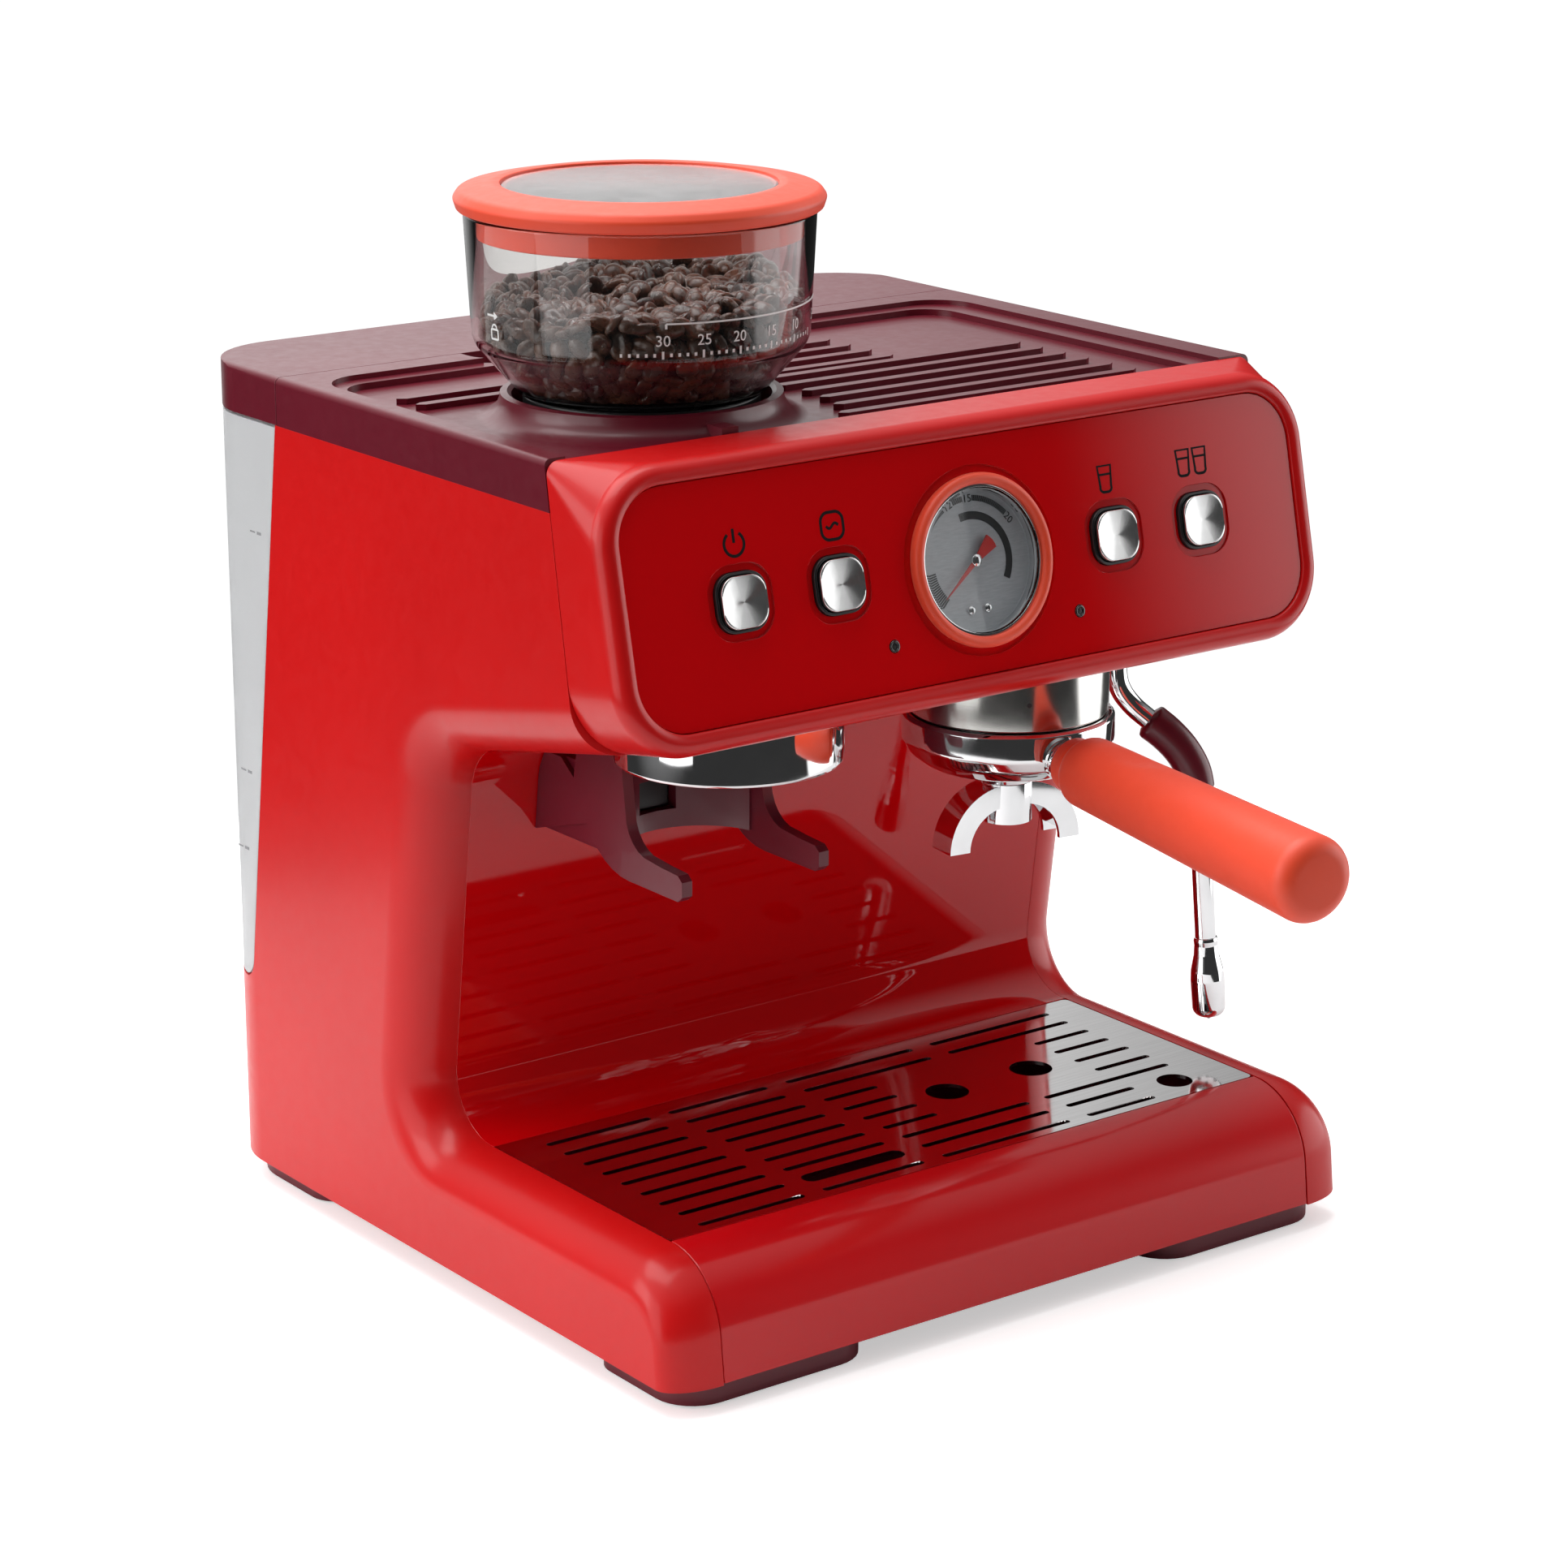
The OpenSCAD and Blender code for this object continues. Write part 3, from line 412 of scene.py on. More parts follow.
def lacquer(name, colour, rough, coat, coat_rough, peel=0.004, vary=0.05, base=0.45):
    """Sprayed paint: slow tone drift, orange peel about 1.5 mm across, faint dust."""
    look = Look(name, Coat_Weight=coat, Coat_Roughness=coat_rough, Specular_IOR_Level=base)
    look.colour(look.noise(9), shade(colour, 1 - vary), shade(colour, 1 + vary))
    look.rough(look.noise(160, detail=4), rough * 0.88, rough * 1.12)
    look.bump(look.noise(620, detail=1), peel, 0.6)
    return look.mat


def moulded(name, colour, rough, grain=0.012, cells=1900, vary=0.06, sheen=0.0, coat=0.0,
             gloss=0.5):
    """Moulded plastic or rubber with a fine spark-eroded texture."""
    look = Look(name, Sheen_Weight=sheen, Coat_Weight=coat, Specular_IOR_Level=gloss)
    look.colour(look.noise(14, detail=3), shade(colour, 1 - vary), shade(colour, 1 + vary))
    look.rough(look.noise(240, detail=3), rough * 0.9, rough * 1.1)
    look.bump(look.noise(cells, detail=3, roughness=0.65), grain, 0.7)
    return look.mat


def metal(name, colour, rough, stretch=(1, 1, 1), cells=60, depth=0.0, anisotropic=0.0, smudge=0.35):
    """Bare metal; stretch draws its noise out into a grain."""
    look = Look(name, Metallic=1.0, Anisotropic=anisotropic)
    look.colour(look.noise(cells, stretch, 3), shade(colour, 0.93), shade(colour, 1.05))
    look.rough(look.noise(38, detail=4, seed=3.1), rough * (1 - smudge), rough * (1 + smudge))
    if depth:
        look.bump(look.noise(cells, stretch, 4, 0.6), depth, 0.5)
    return look


RED = lacquer("red_satin_lacquer", (0.60, 0.0055, 0.0060), 0.36, 0.36, 0.2, base=0.2)
GLOSS = lacquer("gloss_dark_red", (0.62, 0.0008, 0.0030), 0.5, 1.0, 0.03, peel=0.0006, vary=0.012, base=0.0)
NOSE = lacquer("tray_front_red", (0.60, 0.0018, 0.0050), 0.40, 0.8, 0.14, peel=0.0015, vary=0.02, base=0.1)
MAROON = moulded("maroon_plastic", (0.128, 0.0055, 0.016), 0.32, grain=0.004, coat=0.12)
CORAL = moulded("coral_soft_touch", (0.88, 0.072, 0.024), 0.46, grain=0.008, sheen=0.12)
BLACK = moulded("black_plastic", (0.012, 0.012, 0.013), 0.32, grain=0.006)
RUBBER = moulded("black_rubber", (0.016, 0.016, 0.016), 0.7)
WHITE = moulded("white_plastic", (0.62, 0.62, 0.58), 0.4)
BOARD = moulded("green_board", (0.01, 0.09, 0.03), 0.35)
CHROME = metal("polished_chrome", (0.82, 0.82, 0.83), 0.045).mat
SHEET = metal("polished_sheet", (0.74, 0.73, 0.73), 0.085, (0.4, 14, 14), 90, 0.0008).mat
ZINC = metal("zinc_sheet", (0.48, 0.49, 0.5), 0.38, cells=130).mat
BURR_STEEL = metal("ground_steel", (0.42, 0.42, 0.43), 0.26, (1, 1, 9), 260, 0.004).mat
CAST = metal("cast_alloy", (0.55, 0.55, 0.55), 0.45, cells=420, depth=0.03).mat
TURNED = metal("turned_steel", (0.66, 0.65, 0.62), 0.17, (0.03, 0.03, 30), 240, 0.0022).mat
SPUN_LOOK = metal("spun_steel", (0.74, 0.74, 0.74), 0.24, cells=200, anisotropic=0.85, smudge=0.12)
_tangent = SPUN_LOOK.nodes.new("ShaderNodeTangent")
_tangent.direction_type = "RADIAL"
_tangent.axis = "Z"
SPUN_LOOK.links.new(_tangent.outputs["Tangent"], SPUN_LOOK.shader.inputs["Tangent"])
SPUN = SPUN_LOOK.mat


def clear(name, colour, rough, transmission=1.0, ior=1.49, streaks=0.3):
    look = Look(name, Transmission_Weight=transmission, IOR=ior)
    look.colour(look.noise(20, detail=3), shade(colour, 0.985), colour)
    look.rough(look.noise(90, detail=4), rough * (1 - streaks), rough * (1 + streaks))
    return look


SMOKED = clear("smoked_clear_plastic", (0.84, 0.83, 0.82), 0.0, streaks=0.0).mat
WINDOW = clear("lid_window_plastic", (0.86, 0.85, 0.86), 0.16).mat
GLASS = clear("gauge_glass_clear", (0.97, 0.98, 0.98), 0.004).mat
_frost = clear("frosted_tank", (0.84, 0.85, 0.86), 0.42, 0.45)
_frost.shader.inputs["Subsurface Weight"].default_value = 0.3
_frost.shader.inputs["Subsurface Radius"].default_value = (0.006, 0.006, 0.006)
FROST = _frost.bump(_frost.noise(1400, detail=2), 0.008, 0.5).mat

_bean = Look("roasted_beans", Coat_Weight=0.35, Coat_Roughness=0.22, Specular_IOR_Level=0.5)
_bean.colour(_bean.noise(95, detail=2), (0.020, 0.0080, 0.0044), (0.085, 0.033, 0.016), (0.35, 0.68))
_bean.rough(_bean.noise(300), 0.22, 0.36)
BEANS = _bean.bump(_bean.noise(1500, detail=3), 0.05, 0.6).mat
_dial = Look("dial_face", Coat_Weight=0.1)
_dial.colour(_dial.noise(300, (1, 6, 1)), (0.45, 0.48, 0.51), (0.53, 0.56, 0.59))
DIAL = _dial.rough(_dial.noise(900), 0.34, 0.5).mat
PRINT = moulded("dark_print", (0.007, 0.003, 0.004), 0.6, grain=0.002, gloss=0.1)
DIAL_PRINT = moulded("dial_print", (0.016, 0.018, 0.020), 0.5, grain=0.002)
WHITE_PRINT = moulded("white_print", (0.80, 0.80, 0.79), 0.45, grain=0.002)
GREY_PRINT = moulded("grey_print", (0.30, 0.30, 0.31), 0.5, grain=0.002)
NEEDLE = lacquer("needle_red", (0.62, 0.012, 0.008), 0.35, 0.3, 0.2)
_lens = Look("lamp_lens", Coat_Weight=1.0, Coat_Roughness=0.03)
_lens.colour(_lens.noise(700), (0.014, 0.012, 0.012), (0.03, 0.026, 0.025))
LENS = _lens.rough(_lens.noise(500), 0.12, 0.2).mat

CAD_LOOKS = {"red_shell": RED, "gloss_red": GLOSS, "maroon": MAROON, "coral": CORAL, "chrome": CHROME,
             "brushed": TURNED, "mirror_steel": SHEET, "sheet_steel": ZINC, "burr_steel": BURR_STEEL,
             "cast_alloy": CAST, "black_plastic": BLACK, "black_rubber": RUBBER, "white_plastic": WHITE,
             "smoked_clear": SMOKED, "clear_glass": GLASS, "frosted_clear": FROST, "beans": BEANS,
             "dial": DIAL, "needle": NEEDLE, "board": BOARD, "lamp": LENS}
for name, node_obj in NODES.items():
    node_obj.data.materials.clear()
    node_obj.data.materials.append(CAD_LOOKS[SLOT_OF[name]])

# ---------------------------------------------------------------- side shells
EDGES_A = [vec(*p) for p in ((0.5, 0), (BODY_D, 0), (BODY_D, 74), (279, 74), (247.7, STRIP_Z), (68, STRIP_Z),
                             (54.6, 211.8), (153.8, 171), (40, 42.7), (2, 13.7))]
EDGES_B = [vec(*p) for p in ((BODY_D, 0), (BODY_D, 74), (279, 74), (247.7, STRIP_Z), (68, STRIP_Z),
                             (54.6, 211.8), (132, 195.9), (166, 78), (20, 42.7), (0.5, 0))]


def pushed(a, b, d):
    u = unit(b - a)
    return a + vec(-u[1], u[0]) * d, b + vec(-u[1], u[0]) * d


def side_ring(x):
    """Side profile at x: the open edges swell back like a quarter ellipse towards the outside."""
    g = 1 - math.cos(math.asin(min(1.0, (x - IW) / CHEEK)))
    push = [0, 0, 0, 0, 0, 0, 20 * g, 19 * g, 16 * g, 11 * g]
    radii = [0, 3, 3, 8, 0, 0, 0, 22 + 16 * g, 22 + 14 * g, 29 - 14 * g]
    steps = [1, 3, 3, 8, 1, 1, 1, 26, 26, 30]
    q = [pushed(EDGES_A[i], EDGES_B[i], push[i]) for i in range(10)]
    outline = rounded([meet(*q[i - 1], *q[i]) for i in range(10)], radii, steps)
    inset = max(0.0, x - (HW - 35))
    rear = BODY_D - (35 - math.sqrt(max(0.0, 35 ** 2 - inset ** 2)))
    return [(x, min(p[0], rear), p[1]) for p in outline]


def side_shell(name, sign):
    stations = [IW + CHEEK * math.sin(math.radians(90 * i / 22)) for i in range(23)]
    points, faces = skin([side_ring(x) for x in stations])
    obj = piece(name + "_body", [(sign * p[0], p[1], p[2]) for p in points], faces, "machine",
                SLOT_OF[name], RED, stands_for=(name,), sharp=38)
    soften(obj, 0.5, 2, 45)
    return obj


side_shell("side_left", -1)
side_shell("side_right", 1)


# ---------------------------------------------------------------- front bezel and panel
def rim(out, top_radius):
    """Panel outline pushed out, with its own radius at the top corners."""
    w, h = PANEL_HW + out, PANEL_H + out
    return rounded([(-w, -out), (w, -out), (w, h), (-w, h)], [19 + out, 19 + out, top_radius, top_radius], 20)


def seat(p, w, t):
    """Panel coordinates to the datum; back rings lie on the shells' sloping front edge."""
    s, c = math.sin(math.radians(TILT)), math.cos(math.radians(TILT))
    z = PANEL_Z + p[1] * c + w * s - 0.165 * abs(t) * (1 - p[1] / 91)
    y = 54.4 + (z - 211.8) * 0.16 if t < 0 else PANEL_Y + p[1] * s - w * c + t
    return p[0], y, z


def bezel():
    cuts = [(-3, -5.4, 0), (-3, -2.8, 0), (0.3, -2.8, 0), (0.3, 0.6, 0)]
    cuts += [(3.0 + 5.3 * math.sin(math.radians(a)), -5 + 6.8 * math.cos(math.radians(a)), 0)
             for a in range(-26, 91, 8)]
    cuts += [(8.3, -5, -25), (5.3, -5, -25), (5.3, -5.4, 4)]
    rings = []
    for out, w, t in cuts:
        rings.append([seat(p, w, t) for p in rim(out, 5 if t < 0 else 19 + out)])
    points, faces = skin(rings, closed=True)
    obj = piece("front_bezel_body", points, faces, "machine", "red_shell", RED,
                stands_for=("front_bezel",), sharp=40)
    return soften(obj, 0.35, 2, 45)


bezel()
refined("control_panel", GLOSS, 0.35, 2)

# ---------------------------------------------------------------- buttons and lamps
def squircle_button(node, x):
    """Dished, spun steel key with a rolled edge."""
    outline = tile(18.4, 18, 6, 14)
    rings, rows = [], 16
    for i in range(1, rows + 1):
        s = (i / rows) * 0.955
        rings.append([(p[0] * s, p[1] * s, 62 - math.sqrt(60.3 ** 2 - (p[0] ** 2 + p[1] ** 2) * s * s))
                      for p in outline])
    lip = rings[-1][0][2]
    for a in (30, 60, 90):
        s = 0.955 + 0.045 * math.sin(math.radians(a))
        rings.append([(p[0] * s, p[1] * s, lip + 0.1 - 0.5 * (1 - math.cos(math.radians(a))))
                      for p in outline])
    rings.append([(p[0], p[1], -4) for p in outline])
    points, faces = skin(rings, caps=False)
    k = len(outline)
    points.append((0, 0, 1.7))
    faces += [[len(points) - 1, (j + 1) % k, j] for j in range(k)]
    faces.append([(len(rings) - 1) * k + j for j in range(k)])
    stem = slab(arc(3, 0, 350, 35), -9.8, -4)
    points, faces = merge([(points, faces), stem])
    place = ON_PANEL @ Matrix.Translation(Vector((x, BUTTON_V, 0)) * MM)
    piece(node + "_key", points, faces, BODY_OF[node], "brushed", SPUN, place, (node,), sharp=50)


for node, x in zip(("button_power", "button_manual", "button_single", "button_double"), BUTTON_XS):
    squircle_button(node, x)
refined("button_trims", BLACK, 0.3, 2)

for side, x in zip(("left", "right"), LED_XS):
    place = ON_PANEL @ Matrix.Translation(Vector((x, LED_V, 0)) * MM)
    body = lathe_mesh(rounded([(0, -7.5), (2.1, -7.5), (2.1, -4.6), (3.2, -4.6), (3.2, -2.8), (2.1, -2.8),
                               (2.1, 0.35), (1.5, 0.35), (1.35, -0.3), (0, -0.1)],
                              [0, 0.2, 0, 0.2, 0.2, 0, 0.25, 0.1, 0.1, 0], 3), 48)
    piece("status_led_" + side, *body, "machine", "lamp", LENS, place,
          ("status_leds",) if side == "left" else (), sharp=40)

# printed symbols over the buttons: power, manual flow, one cup, two cups
def cup(x):
    left = [(x - 3.1, 4.7), (x - 2.5, -2.6)] + arc(1.8, 200, 270, 5, (x - 0.9, -2.9))
    line = left + [vec(2 * x - p[0], p[1]) for p in reversed(left)]
    fill = [(x - 2.7, 1.6), (x + 2.7, 1.6)]
    return [stroke(line, 1.0, closed=True), stroke(fill, 0.8)]


MARKS = [moved(stroke(arc(4.1, 125, 415, 40), 1.1), BUTTON_XS[0], 59.6),
         moved(stroke([(0, 0.4), (0, 5.2)], 1.1), BUTTON_XS[0], 59.6),
         moved(stroke(tile(9.4, 9.4, 3.2, 8), 1.1, closed=True), BUTTON_XS[1], 60.2),
         moved(stroke([(t, 0.8 * math.sin(t * 1.25)) for t in np.linspace(-2.6, 2.6, 19)], 1.0),
               BUTTON_XS[1], 60.2)]
MARKS += [moved(part, 60.5, 60.4) for part in cup(0)]
MARKS += [moved(part, 101.8, 61.4) for s in (-4.0, 4.0) for part in cup(s)]
piece("panel_symbols", *merge(MARKS), "machine", "black_plastic", PRINT, ON_PANEL, sharp=60)

# ---------------------------------------------------------------- pressure gauge
ring = [(26.7, -0.8), (30.3, -0.8), (30.6, 0.5)] + [tuple(p) for p in arc(2.0, 0, 180, 14, (28.6, 1.7))]
lathe("gauge_ring", ring + [(26.7, 1.4)], 0, CORAL, ON_GAUGE, steps=160)
lathe("gauge_case", [(0, -22), (26.6, -22), (26.6, 1.4), (25.9, 1.4), (25.8, -0.4), (24.8, -0.4),
                     (24.6, -4.5), (1.06, -4.5), (1.06, -9), (0, -9)],
      [0, 1.2, 0.3, 0.2, 0, 0.15, 0.6, 0, 0, 0], DIAL, ON_GAUGE, steps=160)
lathe("gauge_case", [(24.75, -3.9), (25.75, -0.45), (25.75, 1.2), (26.5, 1.2), (26.5, 1.42), (25.6, 1.42),
                     (24.55, -1.6), (24.3, -3.9)], 0.1, CHROME, ON_GAUGE, name="gauge_inner_rim",
      steps=160, stands=False)
for s in (-1, 1):
    head = lathe_mesh(rounded([(0, -4.5), (1.6, -4.5), (1.6, -3.9), (0.9, -3.35), (0, -3.25)],
                              [0, 0, 0.2, 0.3, 0], 4), 36)
    piece("dial_screw_" + ("left" if s < 0 else "right"), *moved(head, s * 3.6, -17), "machine",
          "chrome", CHROME, ON_GAUGE)
lathe("gauge_glass", [(0, -0.3), (25.7, -0.3), (25.7, 1.0), (24.6, 1.3), (0, 1.3)], [0, 0.2, 0.3, 0.8, 0],
      GLASS, ON_GAUGE, steps=160)


def dial_marks():
    parts = [stroke(arc(15.6, 104, -30, 40), 2.8)]
    numbers = (("12", 113), ("15", 89), ("20", 36))
    for k in range(70):
        angle = 148 - 1.55 * k
        if min(abs(angle - n[1]) for n in numbers) > 6:
            a = math.radians(angle)
            parts.append(stroke([(20.6 * math.cos(a), 20.6 * math.sin(a)),
                                 (22.6 * math.cos(a), 22.6 * math.sin(a))], 0.36))
    for k in range(15):
        a = math.radians(188 + 2.5 * k)
        parts.append(stroke([(17.2 * math.cos(a), 17.2 * math.sin(a)),
                             (21.2 * math.cos(a), 21.2 * math.sin(a))], 0.5))
    for text, angle in numbers:
        a = math.radians(angle)
        parts.append(moved(words(text, 3.9), 21.4 * math.cos(a), 21.4 * math.sin(a), spin=angle - 90))
    return moved(merge(parts), z=-4.42)


piece("dial_marks", *dial_marks(), "machine", "black_plastic", DIAL_PRINT, ON_GAUGE, sharp=60)


def needle():
    """Tapered pointer at 218 degrees with a fan-shaped tail, on a domed hub."""
    hand = [(0, 19), (0.55, 8), (0.85, 1.5), (1.3, -2), (2.9, -9.5), (1.5, -9.9), (0, -10.05), (-1.5, -9.9),
            (-2.9, -9.5), (-1.3, -2), (-0.85, 1.5), (-0.55, 8)]
    pointer = moved(slab([vec(*p) for p in hand], -3.2, -2.6), spin=218 - 90)
    hub = lathe_mesh(rounded([(0, -8), (1, -8), (1, -3.4), (2.2, -3.4), (2.2, -2.4), (1.2, -1.9), (0, -1.8)],
                             [0, 0, 0, 0.15, 0.4, 0.4, 0], 4), 40)
    return pointer, hub


hand, hub = needle()
piece("needle_hand", *hand, "needle", "needle", NEEDLE, ON_GAUGE, ("gauge_needle",))
piece("needle_hub", *hub, "needle", "chrome", CHROME, ON_GAUGE)

# ---------------------------------------------------------------- top, tank, back and base
refined("top_cover", MAROON, 0.9, 3)
refined("tank_lid", MAROON, 0.8, 3)
refined("base", MAROON, 0.9, 3)
refined("hood_floor", MAROON, 0.4)
refined("rear_bay", RED, 0.6)
refined("splash_panel", GLOSS, 0.3)
refined("water_tank", FROST, 0.6, 2)
refined("drip_tray", MAROON, 0.7, 2)
refined("tray_front", NOSE, 0.5, 3)
refined("grille", SHEET, 0.35, 2, 30)
refined("dosing_fork", MAROON, 1.1, 3)
refined("grind_trigger", BLACK, 0.8, 3)
refined("steam_knob", BLACK, 0.9, 3)
refined("power_gland", BLACK, 0.6, 2)
refined("twin_spout", CHROME, 0.9, 3)
refined("group_head", CAST, 0.3)
refined("wand_socket", CHROME, 0.8, 3)
refined("foot_pads", RUBBER, 0.8, 3)
refined("case_screws", ZINC, 0.4)

TANK_SIDE = -(HW - 0.2)


def tank_marks():
    """Printed level dashes on the tank's left cheek."""
    parts = []
    for z, y in ((252.4, 259.5), (157.6, 272.8), (126.4, 277.2)):
        parts.append(stroke([(-y - 4.6, z), (-y - 1.6, z)], 1.1))
        parts.append(stroke([(-y - 9.6, z), (-y - 6.0, z)], 0.6))
    return merge(parts)


piece("tank_marks", *tank_marks(), "tank", "black_plastic", GREY_PRINT,
      at(TANK_SIDE, 0) @ turn(-90, "Z") @ turn(90, "X"), sharp=60)

# ---------------------------------------------------------------- hopper
CONE_TOP, KNUCKLE_TOP, JAR_TOP = (56.6, 336.8), (57.4, 339), (59.6, 381.8)


def jar_radius(z):
    """Inside radius of the jar, cone, knuckle and wall."""
    if z < CONE_TOP[1]:
        return 42 + (z - 320) * (CONE_TOP[0] - 42) / (CONE_TOP[1] - 320)
    if z < KNUCKLE_TOP[1]:
        return CONE_TOP[0] + (z - CONE_TOP[1]) * 0.36
    return KNUCKLE_TOP[0] + (z - KNUCKLE_TOP[1]) * (JAR_TOP[0] - KNUCKLE_TOP[0]) / (JAR_TOP[1] - KNUCKLE_TOP[1])


lathe("hopper_jar", [(24.2, 317.6), (43, 317.6), (58.3, 335.3), (59.5, 338.5), (61.8, 381.8), (59.6, 381.8),
                     (57.4, 339), (56.6, 336.8), (42, 320), (24.2, 320)],
      [0.4, 3, 7, 7, 0.9, 0.9, 6, 6, 4, 0.4], SMOKED, AT_BURR, steps=192, arc_steps=6)
lathe("hopper_base", [(21, 282.2), (29, 282.2), (29, 297), (42, 300), (42, 317.5), (24, 317.5), (24, 321.5),
                      (21, 321.5)], [0.5, 0.5, 1, 1.5, 0.8, 0.4, 0.6, 0.6], BLACK, AT_BURR)
lathe("hopper_lid", [(48.6, 391.2), (48.6, 388.6), (46.5, 388.4), (46.5, 386.5), (55.8, 386.4), (55.8, 373.6),
                     (58.6, 373.0), (58.6, 382.4), (64.0, 382.4), (65.3, 386.4), (63.2, 389.4), (51.5, 391.4)],
      [0.5, 0.3, 0.2, 0.4, 0.6, 0.6, 1.0, 0.5, 1.2, 1.8, 3.4, 6.0], CORAL, AT_BURR, steps=192, arc_steps=7)
lathe("lid_window", [(0, 388.8), (48.4, 388.8), (48.4, 390.3), (47.4, 390.5), (0, 390.5)],
      [0, 0.2, 0.3, 0.4, 0], WINDOW, AT_BURR, steps=192)


def bean_shape(u_steps=13, v_steps=9):
    """One roasted bean: domed back, flatter belly with its crease."""
    points = [(0, 0, 2.9), (0, 0, -0.4)]
    for i in range(1, v_steps):
        t = math.pi * i / v_steps
        for j in range(u_steps):
            a = 2 * math.pi * j / u_steps
            sx, sy, sz = math.sin(t) * math.cos(a), math.sin(t) * math.sin(a), math.cos(t)
            z = 2.9 * sz if sz > 0 else 1.5 * sz
            if sz < 0.1:
                z += 1.1 * math.exp(-((sy - 0.12 * math.sin(2.5 * sx)) / 0.2) ** 2) * (1 - sx * sx)
            points.append((5.3 * sx, 3.9 * sy * (1 - 0.06 * sx), z))
    at_row = lambda i, j: 2 + i * u_steps + j % u_steps
    last = v_steps - 2
    faces = [[0, at_row(0, j), at_row(0, j + 1)] for j in range(u_steps)]
    faces += [[1, at_row(last, j + 1), at_row(last, j)] for j in range(u_steps)]
    faces += [[at_row(i, j), at_row(i + 1, j), at_row(i + 1, j + 1), at_row(i, j + 1)]
              for i in range(last) for j in range(u_steps)]
    return np.array(points), faces


def settle_beans(rng, count, gap):
    """Bean centres near the wall, the floor cone and the top of the heap, pushed apart."""
    p = np.zeros((count, 3))
    for i in range(count):
        z = rng.uniform(324.5, 357)
        r = jar_radius(z) - 3.6 - abs(rng.gauss(0, 4.0))
        if i % 4 == 0:
            r, z = 56 * math.sqrt(rng.random()), rng.uniform(346, 357)
        a = rng.uniform(0, 2 * math.pi)
        p[i] = (r * math.cos(a), r * math.sin(a), z)
    for _ in range(45):
        step = np.zeros_like(p)
        for k in range(0, count, 200):
            d = p[k:k + 200, None, :] - p[None, :, :]
            dist = np.sqrt((d ** 2).sum(2)) + 1e-6
            close = np.clip(gap - dist, 0, None)
            close[dist < 1e-3] = 0
            step[k:k + 200] = (d / dist[..., None] * close[..., None]).sum(1) * 0.28
        p += step
        r = np.hypot(p[:, 0], p[:, 1])
        heap = 348 - 2.5 * np.clip((45 - r) / 45, 0, 1) + 0.03 * p[:, 0] - 0.045 * p[:, 1] \
            + 0.9 * np.sin(p[:, 0] * 0.13) + 0.9 * np.sin(p[:, 1] * 0.16 + 1)
        p[:, 2] = np.clip(p[:, 2], 323.5, heap)
        wall = np.array([jar_radius(z) for z in p[:, 2]]) - 3.7
        p[:, :2] *= (np.minimum(r, wall) / np.maximum(r, 1e-6))[:, None]
    return p


def beans():
    rng = random.Random(11)
    shape, shape_faces = bean_shape()
    points, faces = [], []
    for c in settle_beans(rng, 760, 7.3):
        r = math.hypot(c[0], c[1])
        out = Vector((c[0] / max(r, 1), c[1] / max(r, 1), 0))
        face = out if c[2] < 346 else Vector((0, 0, 1))
        tilt = Vector((rng.gauss(0, 0.5), rng.gauss(0, 0.5), rng.gauss(0, 0.5)))
        aim = (face * rng.choice((-1, 1)) + tilt).normalized()
        basis = aim.to_track_quat("Z", "Y").to_matrix() @ Matrix.Rotation(rng.uniform(0, 2 * math.pi), 3, "Z")
        grown = shape * rng.uniform(0.88, 1.1)
        placed = grown @ np.array(basis).T + c
        faces += [[v + len(points) for v in f] for f in shape_faces]
        points += list(placed)
    points = np.array(points)
    points[:, 2] = np.clip(points[:, 2], 321.9, None)
    r = np.hypot(points[:, 0], points[:, 1])
    wall = np.array([jar_radius(z) for z in points[:, 2]]) - 0.25
    points[:, :2] *= (np.minimum(r, wall) / np.maximum(r, 1e-6))[:, None]
    return [tuple(p) for p in points], faces


points, faces = beans()
mesh = bpy.data.meshes.new("bean_heap")
mesh.from_pydata([Vector(p) * MM for p in points], [], faces)
settle("bean_heap", mesh, "hopper", BEANS, AT_BURR, ("hopper_beans",), sharp=60)
lathe("hopper_beans", [(0, 322.2), (36, 322.2), (48, 336.8), (49, 340), (49, 344), (30, 345), (0, 344)],
      [0, 2, 3, 3, 3, 8, 0], BEANS, AT_BURR, name="bean_core", steps=64, stands=False)


def jar_scale():
    """Grind numbers, their ticks and the line over them, in white on the jar."""
    facing = -124.8
    outer = lambda z: 59.5 + (z - 338.5) * (61.8 - 59.5) / (381.8 - 338.5) + 0.06
    parts = []
    for text, a in (("30", 7), ("25", 21), ("20", 34), ("15", 48), ("10", 62), ("5", 82)):
        parts.append(wrapped(moved(words(text, 5.4), y=345.6), outer, facing + a))
    for k in range(31):
        tall = 2.7 if k % 5 == 0 and k else 1.2
        tick = stroke([(0, 340.9 - tall / 2), (0, 340.9 + tall / 2)], 0.9 if k % 5 else 0.8)
        parts.append(wrapped(tick, outer, facing + 7 + 2.74 * (k - 5)))
    line = [(math.radians(a) * 60, 351.6) for a in np.linspace(0, 80, 50)]
    parts.append(wrapped(stroke(line, 0.6), outer, facing + 8))
    parts.append(wrapped(stroke([(0, 351.6), (0, 349.9)], 0.8), outer, facing + 8))
    arrow = [(-3.2, 350), (1.4, 350)]
    head = slab([vec(1.2, 351.4), vec(3.4, 350), vec(1.2, 348.6)], -0.05, 0.05)
    parts += [wrapped(stroke(arrow, 0.7), outer, facing - 58), wrapped(head, outer, facing - 58)]
    lock = [stroke(tile(4.2, 3.4, 0.4, 3), 0.7, closed=True), moved(stroke(arc(1.5, 0, 180, 10), 0.6), y=1.9)]
    parts += [wrapped(moved(merge(lock), y=343.6), outer, facing - 57)]
    return merge(parts)


